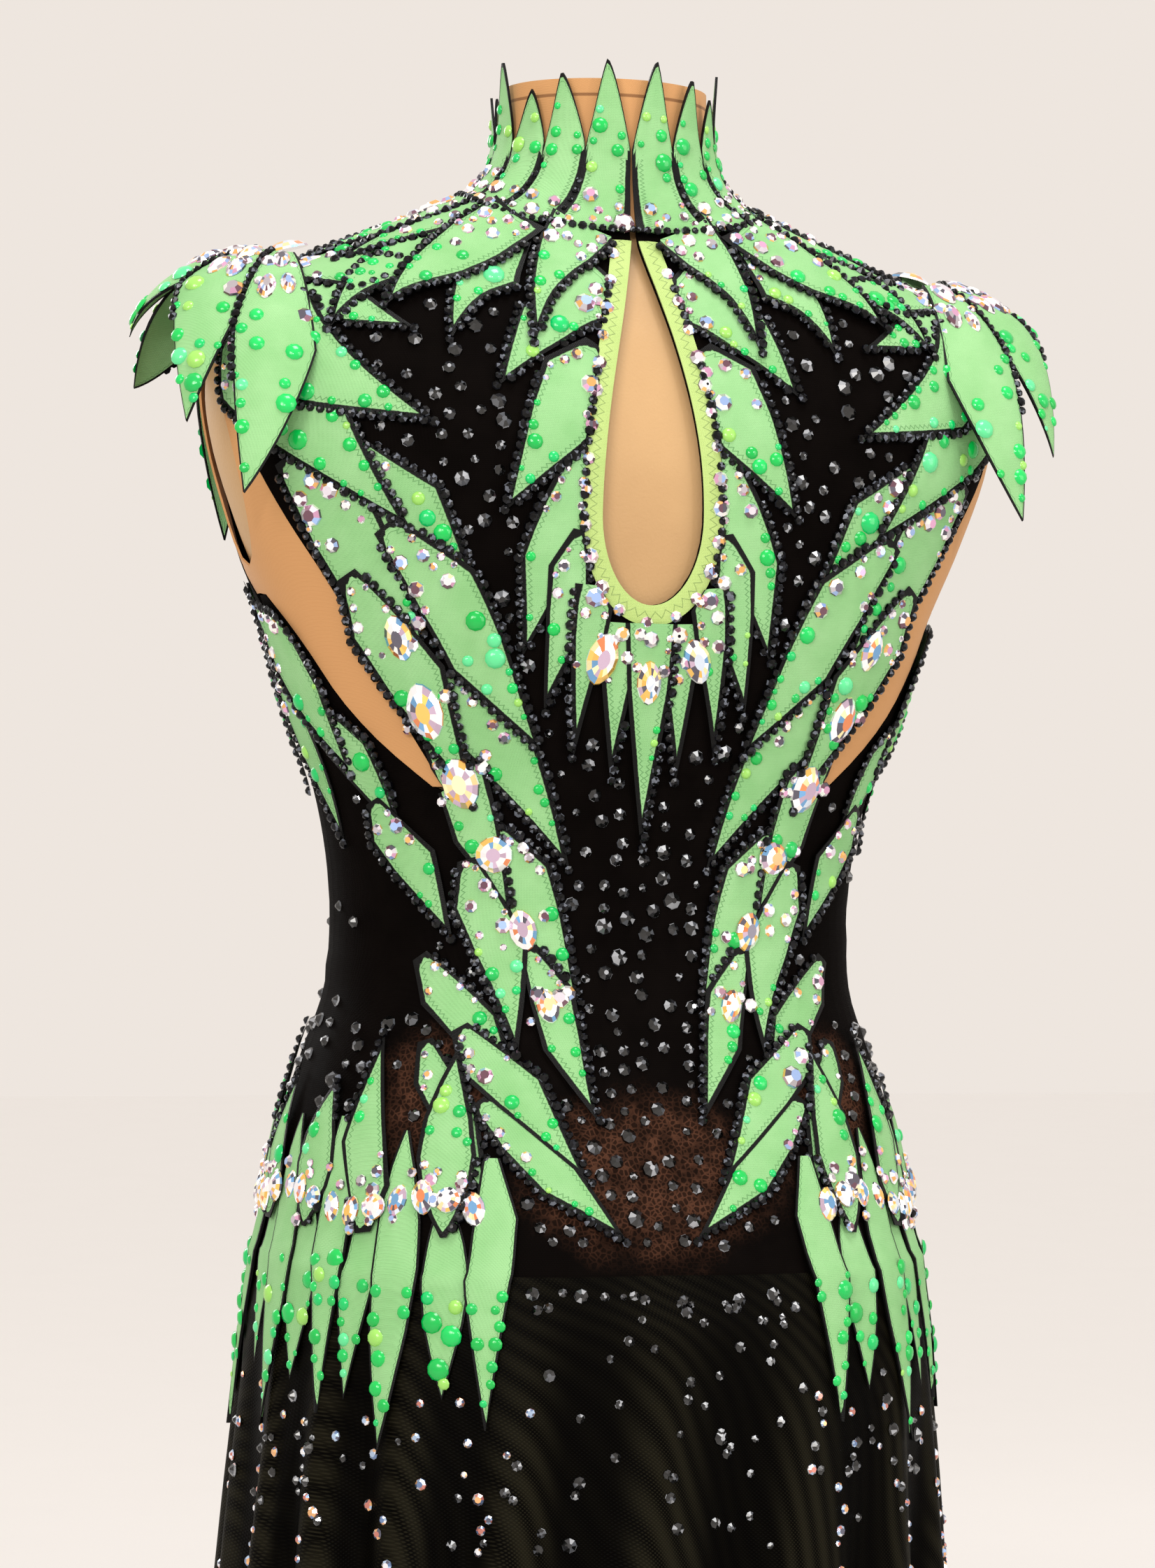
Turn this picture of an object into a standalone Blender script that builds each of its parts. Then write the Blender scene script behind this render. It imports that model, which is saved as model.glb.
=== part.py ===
"""A figure skating dress on a limbless dress form, each piece at its real size.

Metres, +Z up. The origin is the centre of the stand's underside, on the floor. The dress's back,
with its keyhole, faces -Y, its front faces +Y, and +X is the wearer's right.

A place on the body is given by its turn and its station. The turn is in degrees round the body from
the back's centre, 90 at the wearer's right side and 180 at the front's centre. The station is the
height up to the shoulder's ball, and from there the way along the shoulder's ridge and up the neck.
"""

import math
from typing import NamedTuple

import bmesh
import bpy
import numpy as np
from mathutils import Vector

# Heights above the floor
BASE_TOP = 0.009
FORM_BOTTOM = 0.770
SKIRT_HEM = 0.600
HIP_SEAM = 0.880

# Stations of the form's end and the dress's edges
NECK_END = 1.484
MESH_COLLAR_END = 1.488
STRIP_FOOT = 1.090
UNDERARM = 1.178
ARMHOLE_LOW = 1.191
ARMHOLE_HIGH = 1.295
SHOULDER_POINT = 1.340
COLLAR_NOTCH = 1.452
NECKLINE_SIDE = 1.425
NECKLINE_RISE_FROM = 1.265

# Walls and the clearances between them
FORM_INSET = 0.0016
FIT = 0.0012
BODICE_WALL = 0.0015
MESH_WALL = 0.0010
LEAF_WALL = 0.0012
SKIRT_WALL = 0.0012
PLY = 0.0004
COLLAR_LIFT = FIT + MESH_WALL + 3 * PLY
SEAM_GAP_TURN = 0.17
SIDE_GAP_TURN = 0.05
SEAM_GAP = 0.0005
BODICE_LIFT = FIT
BODICE_OUTSIDE = FIT + BODICE_WALL

# The keyhole, by its half width at heights on the back's centre line
KEYHOLE_TOP = 1.3385
KEYHOLE_WIDEST = 1.214
KEYHOLE_BOTTOM = 1.174
KEYHOLE_HALF_WIDTH = 0.0235
KEYHOLE_TOP_HALF_WIDTH = 0.0016
BINDING_WIDTH = 0.009

# The skirt's flutes
FLUTES = 20
FLUTE_CROWDING = 3.4
FLUTE_DEPTH = 0.013
FLUTE_COLUMNS = 5

# The largest stones, sewn on, lie this far off the bodice
STONE_GAP = 0.0009

# The leaves that hang from the hip, the collar's points and the shoulder caps
COLLAR_POINTS = 8
CAP_LEAVES = 5
CAP_SPREAD = 37.0

BLACK_CLOTH = ("black_cloth", (0.010, 0.008, 0.008, 1.0), 0.75, 0.0)
BLACK_MESH = ("black_mesh", (0.016, 0.014, 0.012, 1.0), 0.80, 0.0)
GREEN_CLOTH = ("green_cloth", (0.30, 0.75, 0.36, 1.0), 0.60, 0.0)
LIME_TAPE = ("lime_tape", (0.50, 0.80, 0.28, 1.0), 0.65, 0.0)
NUDE_MESH = ("nude_mesh", (0.56, 0.28, 0.14, 1.0), 0.75, 0.0)
FORM_SKIN = ("form_skin", (0.68, 0.40, 0.21, 1.0), 0.65, 0.0)
STAND_STEEL = ("stand_steel", (0.62, 0.62, 0.63, 1.0), 0.30, 1.0)
CRYSTAL = ("crystal", (0.85, 0.85, 0.90, 1.0), 0.08, 0.6)


class Section(NamedTuple):
    """One level cut of the form: its place, half width, middle line, depths from it and squareness."""

    station: float
    height: float
    half_width: float
    middle: float
    back: float
    front: float
    squareness: float


SECTIONS = (
    Section(0.770, 0.770, 0.1460, 0.000, 0.120, 0.090, 2.3),
    Section(0.815, 0.815, 0.1500, 0.000, 0.126, 0.092, 2.3),
    Section(0.860, 0.860, 0.1502, 0.000, 0.127, 0.095, 2.3),
    Section(0.900, 0.900, 0.1465, 0.000, 0.119, 0.097, 2.3),
    Section(0.935, 0.935, 0.1405, 0.000, 0.107, 0.098, 2.3),
    Section(0.965, 0.965, 0.1315, 0.000, 0.095, 0.096, 2.3),
    Section(1.000, 1.000, 0.1205, 0.000, 0.084, 0.091, 2.2),
    Section(1.030, 1.030, 0.1190, 0.000, 0.079, 0.087, 2.2),
    Section(1.055, 1.055, 0.1208, 0.000, 0.078, 0.086, 2.2),
    Section(1.090, 1.090, 0.1280, -0.001, 0.079, 0.088, 2.2),
    Section(1.130, 1.130, 0.1425, -0.002, 0.083, 0.093, 2.3),
    Section(1.170, 1.170, 0.1540, -0.004, 0.085, 0.096, 2.4),
    Section(1.210, 1.210, 0.1710, -0.005, 0.084, 0.093, 2.4),
    Section(1.245, 1.245, 0.1830, -0.006, 0.081, 0.086, 2.5),
    Section(1.272, 1.271, 0.1870, -0.006, 0.076, 0.077, 2.5),
    Section(1.297, 1.294, 0.1820, -0.006, 0.069, 0.068, 2.5),
    Section(1.320, 1.312, 0.1670, -0.006, 0.061, 0.060, 2.4),
    Section(1.345, 1.325, 0.1430, -0.006, 0.054, 0.054, 2.3),
    Section(1.375, 1.338, 0.1120, -0.006, 0.047, 0.051, 2.2),
    Section(1.402, 1.350, 0.0840, -0.005, 0.043, 0.050, 2.1),
    Section(1.422, 1.359, 0.0660, -0.004, 0.042, 0.050, 2.0),
    Section(1.438, 1.370, 0.0545, -0.003, 0.041, 0.050, 2.0),
    Section(1.455, 1.385, 0.0480, -0.002, 0.041, 0.048, 2.0),
    Section(1.475, 1.403, 0.0458, -0.001, 0.041, 0.046, 2.0),
    Section(1.510, 1.437, 0.0455, 0.000, 0.041, 0.045, 2.0),
)


class Fullness(NamedTuple):
    """A soft swell of the form, one on each side of its middle. Side is 1 for the front, -1 for the back."""

    side: int
    across: float
    height: float
    spread_across: float
    spread_up: float
    amount: float


FULLNESSES = (
    Fullness(1, 0.074, 1.168, 0.052, 0.048, 0.026),
    Fullness(-1, 0.070, 0.862, 0.062, 0.055, 0.011),
    Fullness(-1, 0.080, 1.232, 0.055, 0.060, 0.005),
)


class Edge(NamedTuple):
    """A point of a cut edge that runs over the body."""

    station: float
    turn: float


# The strip of bare mesh runs from the armhole down to a point beside the spine
STRIP_INNER_EDGE = (
    Edge(1.090, 41.5),
    Edge(1.130, 50.0),
    Edge(1.165, 57.0),
    Edge(1.191, 61.5),
    Edge(1.215, 66.0),
    Edge(1.250, 72.0),
    Edge(1.290, 76.5),
    Edge(1.320, 82.0),
    Edge(1.340, 90.0),
)
STRIP_OUTER_EDGE = (
    Edge(1.090, 43.5),
    Edge(1.110, 55.0),
    Edge(1.130, 64.0),
    Edge(1.150, 71.5),
    Edge(1.165, 78.5),
    Edge(1.178, 86.0),
)
FRONT_ARMHOLE = (
    Edge(1.165, 90.0),
    Edge(1.178, 92.0),
    Edge(1.191, 99.0),
    Edge(1.215, 106.0),
    Edge(1.250, 109.0),
    Edge(1.290, 107.0),
    Edge(1.320, 100.0),
    Edge(1.340, 90.0),
)

FORM_ROWS = (
    0.770, 0.805, 0.840, 0.870, 0.895, 0.920, 0.945, 0.970, 0.995, 1.020, 1.045,
    1.070, 1.100, 1.130, 1.155, 1.180, 1.205, 1.230, 1.253, 1.274, 1.296, 1.320, 1.345,
    1.375, 1.402, 1.422, 1.438, 1.455, 1.470, NECK_END,
)
BODICE_ROWS = (
    HIP_SEAM + SEAM_GAP, 0.905, 0.930, 0.955, 0.980, 1.005, 1.030, 1.060, STRIP_FOOT, 1.097,
    1.112, 1.130, 1.150, 1.165, UNDERARM, ARMHOLE_LOW, 1.217, 1.244, 1.271, ARMHOLE_HIGH,
    1.318, SHOULDER_POINT, 1.368, 1.397, NECKLINE_SIDE,
)


def steady_slopes(x, y):
    """Slopes that make a cubic through the points rise and fall only where the points do."""
    step = np.diff(y) / np.diff(x)
    slopes = np.concatenate([[step[0]], (step[:-1] + step[1:]) / 2, [step[-1]]])
    for i in range(1, len(x) - 1):
        if step[i - 1] * step[i] <= 0:
            slopes[i] = 0.0
        else:
            slopes[i] = np.sign(slopes[i]) * min(
                abs(slopes[i]), 3 * abs(step[i - 1]), 3 * abs(step[i])
            )
    return slopes


def smooth_through(x, y):
    """A function that gives the smooth curve through the points."""
    x = np.array(x, float)
    y = np.array(y, float)
    slopes = steady_slopes(x, y)

    def value(at):
        at = np.clip(np.asarray(at, float), x[0], x[-1])
        i = np.clip(np.searchsorted(x, at, side="right") - 1, 0, len(x) - 2)
        width = x[i + 1] - x[i]
        s = (at - x[i]) / width
        return (
            y[i] * (1 + 2 * s) * (1 - s) ** 2
            + y[i + 1] * s**2 * (3 - 2 * s)
            + width * (slopes[i] * s * (1 - s) ** 2 - slopes[i + 1] * s**2 * (1 - s))
        )

    return value


COLUMNS = list(zip(*SECTIONS))
HEIGHT, HALF_WIDTH, MIDDLE, BACK, FRONT, SQUARENESS = (
    smooth_through(COLUMNS[0], column) for column in COLUMNS[1:]
)
STATION_OF_HEIGHT = smooth_through(COLUMNS[1], COLUMNS[0])


def body_point(turn, station):
    """The form's surface at a turn in degrees and a station."""
    angle = np.radians(turn)
    across = np.abs(np.sin(angle))
    x = HALF_WIDTH(station) * np.sin(angle)
    z = HEIGHT(station) + 0 * x
    power = SQUARENESS(station)
    depth = np.clip(1 - across**power, 0, 1) ** (1 / power)
    side = np.where(np.cos(angle) >= 0, -1, 1)
    out = np.where(side < 0, BACK(station), FRONT(station)) * depth
    for swell in FULLNESSES:
        off_middle = (np.abs(x) - swell.across) / swell.spread_across
        off_height = (z - swell.height) / swell.spread_up
        bulge = swell.amount * np.exp(-(off_middle**2) - off_height**2)
        out = out + np.where(side == swell.side, bulge * depth, 0)
    return np.stack([x, MIDDLE(station) + side * out, z], axis=-1)


def outward(turn, station):
    """The outward direction of the form's surface."""
    round_it = body_point(turn + 0.6, station) - body_point(turn - 0.6, station)
    up_it = body_point(turn, station + 0.003) - body_point(turn, station - 0.003)
    normal = np.cross(round_it, up_it)
    return normal / np.linalg.norm(normal, axis=-1, keepdims=True)


def over_body(turn, station, lift):
    """A point that lies a given lift off the form."""
    turn = np.asarray(turn, float)
    station = np.asarray(station, float)
    lift = np.asarray(lift, float)
    return body_point(turn, station) + outward(turn, station) * lift[..., None]


def neckline(turn):
    """The station of the collar's seam: lower at the back, and lowest at the front."""
    cosine = np.cos(np.radians(turn))
    dip = np.where(cosine > 0, 0.036 * np.abs(cosine) ** 1.6, 0.086 * np.abs(cosine) ** 1.3)
    return NECKLINE_SIDE - dip


def under_neckline(turn, station):
    """Brings the top rows of a panel to the neckline."""
    share = (station - NECKLINE_RISE_FROM) / (NECKLINE_SIDE - NECKLINE_RISE_FROM)
    fall = (NECKLINE_SIDE - neckline(turn)) * np.clip(share, 0, 1)
    return station - fall


def new_material(finish):
    """The material for a finish, made once."""
    name, colour, roughness, metallic = finish
    material = bpy.data.materials.get(name)
    if material is None:
        material = bpy.data.materials.new(name)
        material.use_nodes = True
        shader = material.node_tree.nodes["Principled BSDF"]
        shader.inputs["Base Color"].default_value = colour
        shader.inputs["Roughness"].default_value = roughness
        shader.inputs["Metallic"].default_value = metallic
    return material


def mesh_object(name, points, faces, finish, parent):
    """An object from points and faces, shaded smooth, in the dress's collection."""
    mesh = bpy.data.meshes.new(name)
    mesh.from_pydata([tuple(p) for p in points], [], faces)
    mesh.shade_smooth()
    mesh.materials.append(new_material(finish))
    item = bpy.data.objects.new(name, mesh)
    PARTS.objects.link(item)
    item.parent = parent
    return item


def thicken(item, wall):
    """Gives an open surface its wall, outwards."""
    solid = item.modifiers.new("wall", "SOLIDIFY")
    solid.thickness = wall
    solid.offset = 1.0
    solid.use_even_offset = False
    return item


class Post(NamedTuple):
    """A line up a panel. Where its two turns differ, the panel is open between them."""

    left: object
    right: object


class Bay(NamedTuple):
    """The cloth between two neighbouring posts, from one row to another."""

    columns: int
    first_row: int
    last_row: int


def panel_surface(rows, posts, bays):
    """The points and faces of a panel: bays of cloth between posts."""
    points, faces, index = [], [], {}

    def vertex(key, turn, station):
        if key not in index:
            index[key] = len(points)
            points.append((turn, station))
        return index[key]

    for b, bay in enumerate(bays):
        grid = []
        for r in range(bay.first_row, bay.last_row + 1):
            left = float(posts[b].right(rows[r]))
            right = float(posts[b + 1].left(rows[r]))
            line = []
            for c in range(bay.columns + 1):
                turn = left + (right - left) * c / bay.columns
                key = (b, r, c)
                edge = {0: b, bay.columns: b + 1}.get(c)
                if edge is not None:
                    post = posts[edge]
                    closed = abs(float(post.left(rows[r])) - float(post.right(rows[r]))) < 1e-6
                    key = ("post", edge, r) if closed else ("post", edge, r, c == 0)
                line.append(vertex(key, turn, rows[r]))
            grid.append(line)
        for low, high in zip(grid, grid[1:]):
            for c in range(bay.columns):
                faces.append((low[c], low[c + 1], high[c + 1], high[c]))
    return np.array(points), faces


def body_panel(name, rows, posts, bays, lift, wall, finish, parent):
    """A cloth panel that follows the form."""
    places, faces = panel_surface(rows, posts, bays)
    station = under_neckline(places[:, 0], places[:, 1])
    points = over_body(places[:, 0], station, np.full(len(places), lift))
    return thicken(mesh_object(name, points, faces, finish, parent), wall)


def grid_faces(rows, columns, closed=False):
    """The faces of a grid of rows of points, with the columns run round if it is closed."""
    faces = []
    last = columns if closed else columns - 1
    for r in range(rows - 1):
        for c in range(last):
            d = (c + 1) % columns
            faces.append((r * columns + c, r * columns + d, (r + 1) * columns + d, (r + 1) * columns + c))
    return faces


def edge_line(edge):
    """A cut edge as a function that gives its turn at a station."""
    return smooth_through([p.station for p in edge], [p.turn for p in edge])


def mirrored(line):
    """The same line on the wearer's left."""
    return lambda station: -line(station)


def steady(turn):
    """A line straight up the body at one turn."""
    return lambda station: turn


def shifted(line, turn):
    """A line moved round the body by a turn."""
    return lambda station: line(station) + turn


INNER_EDGE = edge_line(STRIP_INNER_EDGE)
OUTER_EDGE = edge_line(STRIP_OUTER_EDGE)
FRONT_EDGE = edge_line(FRONT_ARMHOLE)


def strip_left_of(station):
    """The strip's outer edge, or the inner one below the strip's foot, where the cloth is whole."""
    return OUTER_EDGE(station) if station >= STRIP_FOOT + 1e-6 else INNER_EDGE(station)


def armhole_half_turn(station):
    """Half the armhole's turn at a station, nothing above and below it."""
    middle = (ARMHOLE_LOW + ARMHOLE_HIGH) / 2
    half = (ARMHOLE_HIGH - ARMHOLE_LOW) / 2
    share = 1 - ((station - middle) / half) ** 2
    return 13.5 * math.sqrt(share) if share > 1e-6 else 0.0


def make_form(parent):
    """The dress form: one smooth, closed torso with a short neck."""
    turns = np.arange(0, 360, 9.0)
    inset = np.full(len(turns), -FORM_INSET)
    grid = np.array([over_body(turns, np.full(len(turns), s), inset) for s in FORM_ROWS])
    grid[0, :, 2] = FORM_BOTTOM
    grid[-1, :, 2] = grid[-1, :, 2].mean()
    faces = grid_faces(len(FORM_ROWS), len(turns), closed=True)
    faces.append(tuple(reversed(range(len(turns)))))
    first = (len(FORM_ROWS) - 1) * len(turns)
    faces.append(tuple(range(first, first + len(turns))))
    form = mesh_object("form_torso", grid.reshape(-1, 3), faces, FORM_SKIN, parent)
    form.data.set_sharp_from_angle(angle=math.radians(50))
    return form


def turned(name, profile, finish, parent, steps=32):
    """A solid turned about the vertical axis from a profile of (radius, height), top to bottom."""
    mesh = bpy.data.meshes.new(name)
    mesh.from_pydata([(r, 0, z) for r, z in profile], [(i, i + 1) for i in range(len(profile) - 1)], [])
    mesh.materials.append(new_material(finish))
    item = bpy.data.objects.new(name, mesh)
    PARTS.objects.link(item)
    item.parent = parent
    screw = item.modifiers.new("turn", "SCREW")
    screw.steps = screw.render_steps = steps
    screw.use_merge_vertices = True
    screw.merge_threshold = 0.0001
    return item


def make_stand(parent):
    """A steel tube with a flange under the form, and a round base plate."""
    top = FORM_BOTTOM - PLY
    low = BASE_TOP + PLY
    turned(
        "stand_pole",
        (
            (0.0, top), (0.045, top), (0.045, top - 0.006), (0.017, top - 0.008),
            (0.016, top - 0.045), (0.0125, top - 0.047), (0.0125, low + 0.050),
            (0.019, low + 0.048), (0.022, low + 0.004), (0.026, low), (0.0, low),
        ),
        STAND_STEEL,
        parent,
        steps=20,
    )
    turned(
        "stand_base",
        ((0.0, BASE_TOP), (0.166, BASE_TOP), (0.171, 0.0075), (0.173, 0.0040), (0.173, 0.0), (0.0, 0.0)),
        STAND_STEEL,
        parent,
        steps=40,
    )


def keyhole_half_width(height):
    """Half the keyhole's width: a teardrop, round at its foot."""
    if height <= KEYHOLE_WIDEST:
        share = (KEYHOLE_WIDEST - height) / (KEYHOLE_WIDEST - KEYHOLE_BOTTOM)
        return KEYHOLE_HALF_WIDTH * math.sqrt(max(0.0, 1 - share**2))
    share = (height - KEYHOLE_WIDEST) / (KEYHOLE_TOP - KEYHOLE_WIDEST)
    taper = math.cos(share * math.pi / 2) ** 1.15
    return KEYHOLE_TOP_HALF_WIDTH + (KEYHOLE_HALF_WIDTH - KEYHOLE_TOP_HALF_WIDTH) * taper


def keyhole_outline(steps=13):
    """The keyhole's right edge as (across, height), from its top to its foot."""
    outline = []
    for i in range(steps):
        share = i / (steps - 1)
        height = KEYHOLE_TOP - (KEYHOLE_TOP - KEYHOLE_BOTTOM) * math.sin(share * math.pi / 2)
        outline.append((keyhole_half_width(height), height))
    outline[-1] = (0.0, KEYHOLE_BOTTOM)
    return outline


def make_keyhole_cutter():
    """A prism of the keyhole's outline that reaches past the neckline, for the bodice's back."""
    right = [(KEYHOLE_TOP_HALF_WIDTH, KEYHOLE_TOP + 0.03), *keyhole_outline()]
    ring = right + [(-x, z) for x, z in reversed(right[:-1])]
    near, far = -0.20, -0.015
    points = [(x, near, z) for x, z in ring] + [(x, far, z) for x, z in ring]
    count = len(ring)
    mesh = bpy.data.meshes.new("keyhole_cutter")
    faces = [tuple(range(count)), tuple(reversed(range(count, 2 * count)))]
    faces += [(i, count + i, count + (i + 1) % count, (i + 1) % count) for i in range(count)]
    mesh.from_pydata(points, [], faces)
    shape = bmesh.new()
    shape.from_mesh(mesh)
    bmesh.ops.recalc_face_normals(shape, faces=shape.faces)
    shape.to_mesh(mesh)
    shape.free()
    cutter = bpy.data.objects.new("keyhole_cutter", mesh)
    cutter.hide_render = True
    cutter.display_type = "WIRE"
    CUTTERS.objects.link(cutter)
    return cutter


def make_bodice(parent):
    """The black back with its keyhole and its two open strips, and the plain black front."""
    side = 90.0 - SIDE_GAP_TURN
    underarm = BODICE_ROWS.index(UNDERARM)
    top = len(BODICE_ROWS) - 1
    inner = lambda station: min(float(INNER_EDGE(station)), side)
    outer = lambda station: min(strip_left_of(station), side) if station > STRIP_FOOT + 1e-6 else inner(station)
    back = body_panel(
        "bodice_back",
        BODICE_ROWS,
        (
            Post(steady(-side), steady(-side)),
            Post(mirrored(outer), mirrored(inner)),
            Post(steady(0.0), steady(0.0)),
            Post(inner, outer),
            Post(steady(side), steady(side)),
        ),
        (Bay(4, 0, underarm), Bay(7, 0, top), Bay(7, 0, top), Bay(4, 0, underarm)),
        BODICE_LIFT,
        BODICE_WALL,
        BLACK_CLOTH,
        parent,
    )
    cut = back.modifiers.new("keyhole", "BOOLEAN")
    cut.operation = "DIFFERENCE"
    cut.object = make_keyhole_cutter()
    armhole = lambda station: max(float(FRONT_EDGE(station)), 90.0 + SIDE_GAP_TURN)
    body_panel(
        "bodice_front",
        BODICE_ROWS,
        (Post(armhole, armhole), Post(lambda s: 360.0 - armhole(s), lambda s: 360.0 - armhole(s))),
        (Bay(20, 0, top),),
        BODICE_LIFT,
        BODICE_WALL,
        BLACK_CLOTH,
        parent,
    )


def make_mesh_sides(parent):
    """The nude mesh at each side: the strip down the back, and the cloth round the armhole."""
    over_underarm = UNDERARM + 2 * SEAM_GAP
    rows = [s for s in BODICE_ROWS if STRIP_FOOT < s <= SHOULDER_POINT - 0.01]
    rows = sorted([*rows, over_underarm])
    underarm = rows.index(over_underarm)
    top = len(rows) - 1
    back_side = lambda s: OUTER_EDGE(s) - SEAM_GAP_TURN if s <= UNDERARM else 90.0 - armhole_half_turn(s)
    front_side = lambda s: 90.0 + armhole_half_turn(s)
    inner = shifted(INNER_EDGE, SEAM_GAP_TURN)
    front = lambda s: FRONT_EDGE(s) - SEAM_GAP_TURN
    for name, sign in (("mesh_side_right", 1), ("mesh_side_left", -1)):
        posts = (Post(inner, inner), Post(back_side, front_side), Post(front, front))
        bays = (Bay(4, 0, top), Bay(3, underarm, top))
        places, faces = panel_surface(rows, posts, bays)
        if sign < 0:
            faces = [tuple(reversed(face)) for face in faces]
        turn = places[:, 0] * sign
        station = under_neckline(places[:, 0], places[:, 1])
        points = over_body(turn, station, np.full(len(places), FIT))
        thicken(mesh_object(name, points, faces, NUDE_MESH, parent), MESH_WALL)


def make_mesh_collar(parent):
    """The nude mesh stand collar inside the leaf collar."""
    turns = np.arange(0, 360, 11.25)
    shares = (0.0, 0.12, 0.26, 0.42, 0.62, 1.0)
    low = neckline(turns) + 0.0012
    grid = []
    for share in shares:
        station = low + (MESH_COLLAR_END - low) * share
        grid.append(over_body(turns, station, np.full(len(turns), FIT)))
    faces = grid_faces(len(shares), len(turns), closed=True)
    points = np.array(grid).reshape(-1, 3)
    thicken(mesh_object("mesh_collar", points, faces, NUDE_MESH, parent), MESH_WALL)


def collar_tip_station(point):
    """How high each point of the collar reaches, uneven from point to point."""
    return 1.492 + 0.006 * math.sin(2.3 * point + 0.8)


def make_collar(parent):
    """Two collar halves that meet at the back, each with its upper edge cut in leaf points."""
    across = 4
    rise_at = (0.0, 0.70, 1.0, 0.55)
    rows = 5
    for name, sign in (("collar_right", 1), ("collar_left", -1)):
        turns, tops, curls = [], [], []
        for c in range(COLLAR_POINTS * across + 1):
            point = c // across
            turn = 0.8 + (179.2 - 0.8) * c / (COLLAR_POINTS * across)
            notch = COLLAR_NOTCH
            rise = rise_at[c % across]
            turns.append(turn)
            tops.append(notch + (collar_tip_station(point) - notch) * rise)
            curls.append(rise)
        turns, tops, curls = np.array(turns), np.array(tops), np.array(curls)
        low = neckline(turns) - 0.0025
        grid = []
        for r in range(rows):
            share = r / (rows - 1)
            station = low + (tops - low) * share
            out = COLLAR_LIFT + 0.0025 * curls * share**3
            grid.append(over_body(turns * sign, station, out))
        faces = grid_faces(rows, len(turns))
        if sign < 0:
            faces = [tuple(reversed(face)) for face in faces]
        points = np.array(grid).reshape(-1, 3)
        thicken(mesh_object(name, points, faces, GREEN_CLOTH, parent), LEAF_WALL)


def make_keyhole_binding(parent):
    """The tape that finishes the keyhole, laid on the back round its edge."""
    outline = keyhole_outline(12)
    ring = outline + [(-x, z) for x, z in reversed(outline[:-1])]
    centre = np.array(ring)
    along = np.gradient(centre, axis=0)
    along /= np.linalg.norm(along, axis=1, keepdims=True)
    away = np.stack([-along[:, 1], along[:, 0]], axis=1)
    lines = []
    for share in (0.02, 0.5, 1.0):
        flat = centre + away * BINDING_WIDTH * share
        flat[0, 1] = flat[-1, 1] = KEYHOLE_TOP
        station = STATION_OF_HEIGHT(flat[:, 1])
        turn = np.degrees(np.arcsin(flat[:, 0] / HALF_WIDTH(station)))
        lines.append(over_body(turn, station, np.full(len(turn), BODICE_OUTSIDE + PLY)))
    faces = grid_faces(len(lines), len(ring))
    points = np.array(lines).reshape(-1, 3)
    thicken(mesh_object("keyhole_binding", points, faces, LIME_TAPE, parent), 0.0010)


class Hang(NamedTuple):
    """The skirt's level cut without its flutes."""

    height: float
    half_width: float
    back: float
    front: float


SKIRT_HANG = (
    Hang(0.600, 0.1730, 0.162, 0.139),
    Hang(0.670, 0.1675, 0.158, 0.130),
    Hang(0.740, 0.1625, 0.153, 0.120),
    Hang(0.800, 0.1590, 0.149, 0.111),
    Hang(0.840, 0.1565, 0.145, 0.105),
    Hang(0.880, 0.1525, 0.1385, 0.1005),
)
HANG_COLUMNS = list(zip(*SKIRT_HANG))
HANG_HALF_WIDTH, HANG_BACK, HANG_FRONT = (
    smooth_through(HANG_COLUMNS[0], column) for column in HANG_COLUMNS[1:]
)
SKIRT_SQUARENESS = 2.3
SKIRT_ROWS = (0.600, 0.640, 0.682, 0.724, 0.764, 0.800, 0.832, 0.860, HIP_SEAM - SEAM_GAP)


def skirt_point(turn, height):
    """The skirt's surface without its flutes."""
    angle = np.radians(turn)
    across = np.abs(np.sin(angle))
    depth = np.clip(1 - across**SKIRT_SQUARENESS, 0, 1) ** (1 / SKIRT_SQUARENESS)
    x = HANG_HALF_WIDTH(height) * np.sin(angle)
    y = np.where(np.cos(angle) >= 0, -HANG_BACK(height), HANG_FRONT(height)) * depth
    return np.stack([x, y, height + 0 * x], axis=-1)


def flute_depth(height):
    """How deep the flutes are: none at the seam, deepest at the hem."""
    share = np.clip((HIP_SEAM - 0.012 - height) / (HIP_SEAM - SKIRT_HEM), 0, 1)
    return FLUTE_DEPTH * share**1.25


def flute_phase(turn):
    """The flutes' phase, which runs slower at the back's and front's middles."""
    angle = np.radians(turn)
    return FLUTES * angle - FLUTE_CROWDING * np.sin(2 * angle) + 0.55 * np.sin(3 * angle + 0.7)


def skirt_outward(turn, height):
    """The outward direction of the skirt's surface."""
    round_it = skirt_point(turn + 0.6, height) - skirt_point(turn - 0.6, height)
    up_it = skirt_point(turn, height + 0.004) - skirt_point(turn, height - 0.004)
    normal = np.cross(round_it, up_it)
    return normal / np.linalg.norm(normal, axis=-1, keepdims=True)


def make_skirt(parent):
    """The black mesh skirt, fluted from the hip seam to its hem."""
    fine = np.linspace(0, 360, 3601)
    columns = FLUTES * FLUTE_COLUMNS
    phases = np.linspace(0, 2 * math.pi * FLUTES, columns, endpoint=False) + flute_phase(0.0)
    turns = np.interp(phases, flute_phase(fine), fine)
    grid = []
    for height in SKIRT_ROWS:
        level = np.full(columns, height)
        wave = np.cos(flute_phase(turns)) * flute_depth(level)
        grid.append(skirt_point(turns, level) + skirt_outward(turns, level) * wave[:, None])
    faces = grid_faces(len(SKIRT_ROWS), columns, closed=True)
    points = np.array(grid).reshape(-1, 3)
    thicken(mesh_object("skirt", points, faces, BLACK_MESH, parent), SKIRT_WALL)


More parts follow.
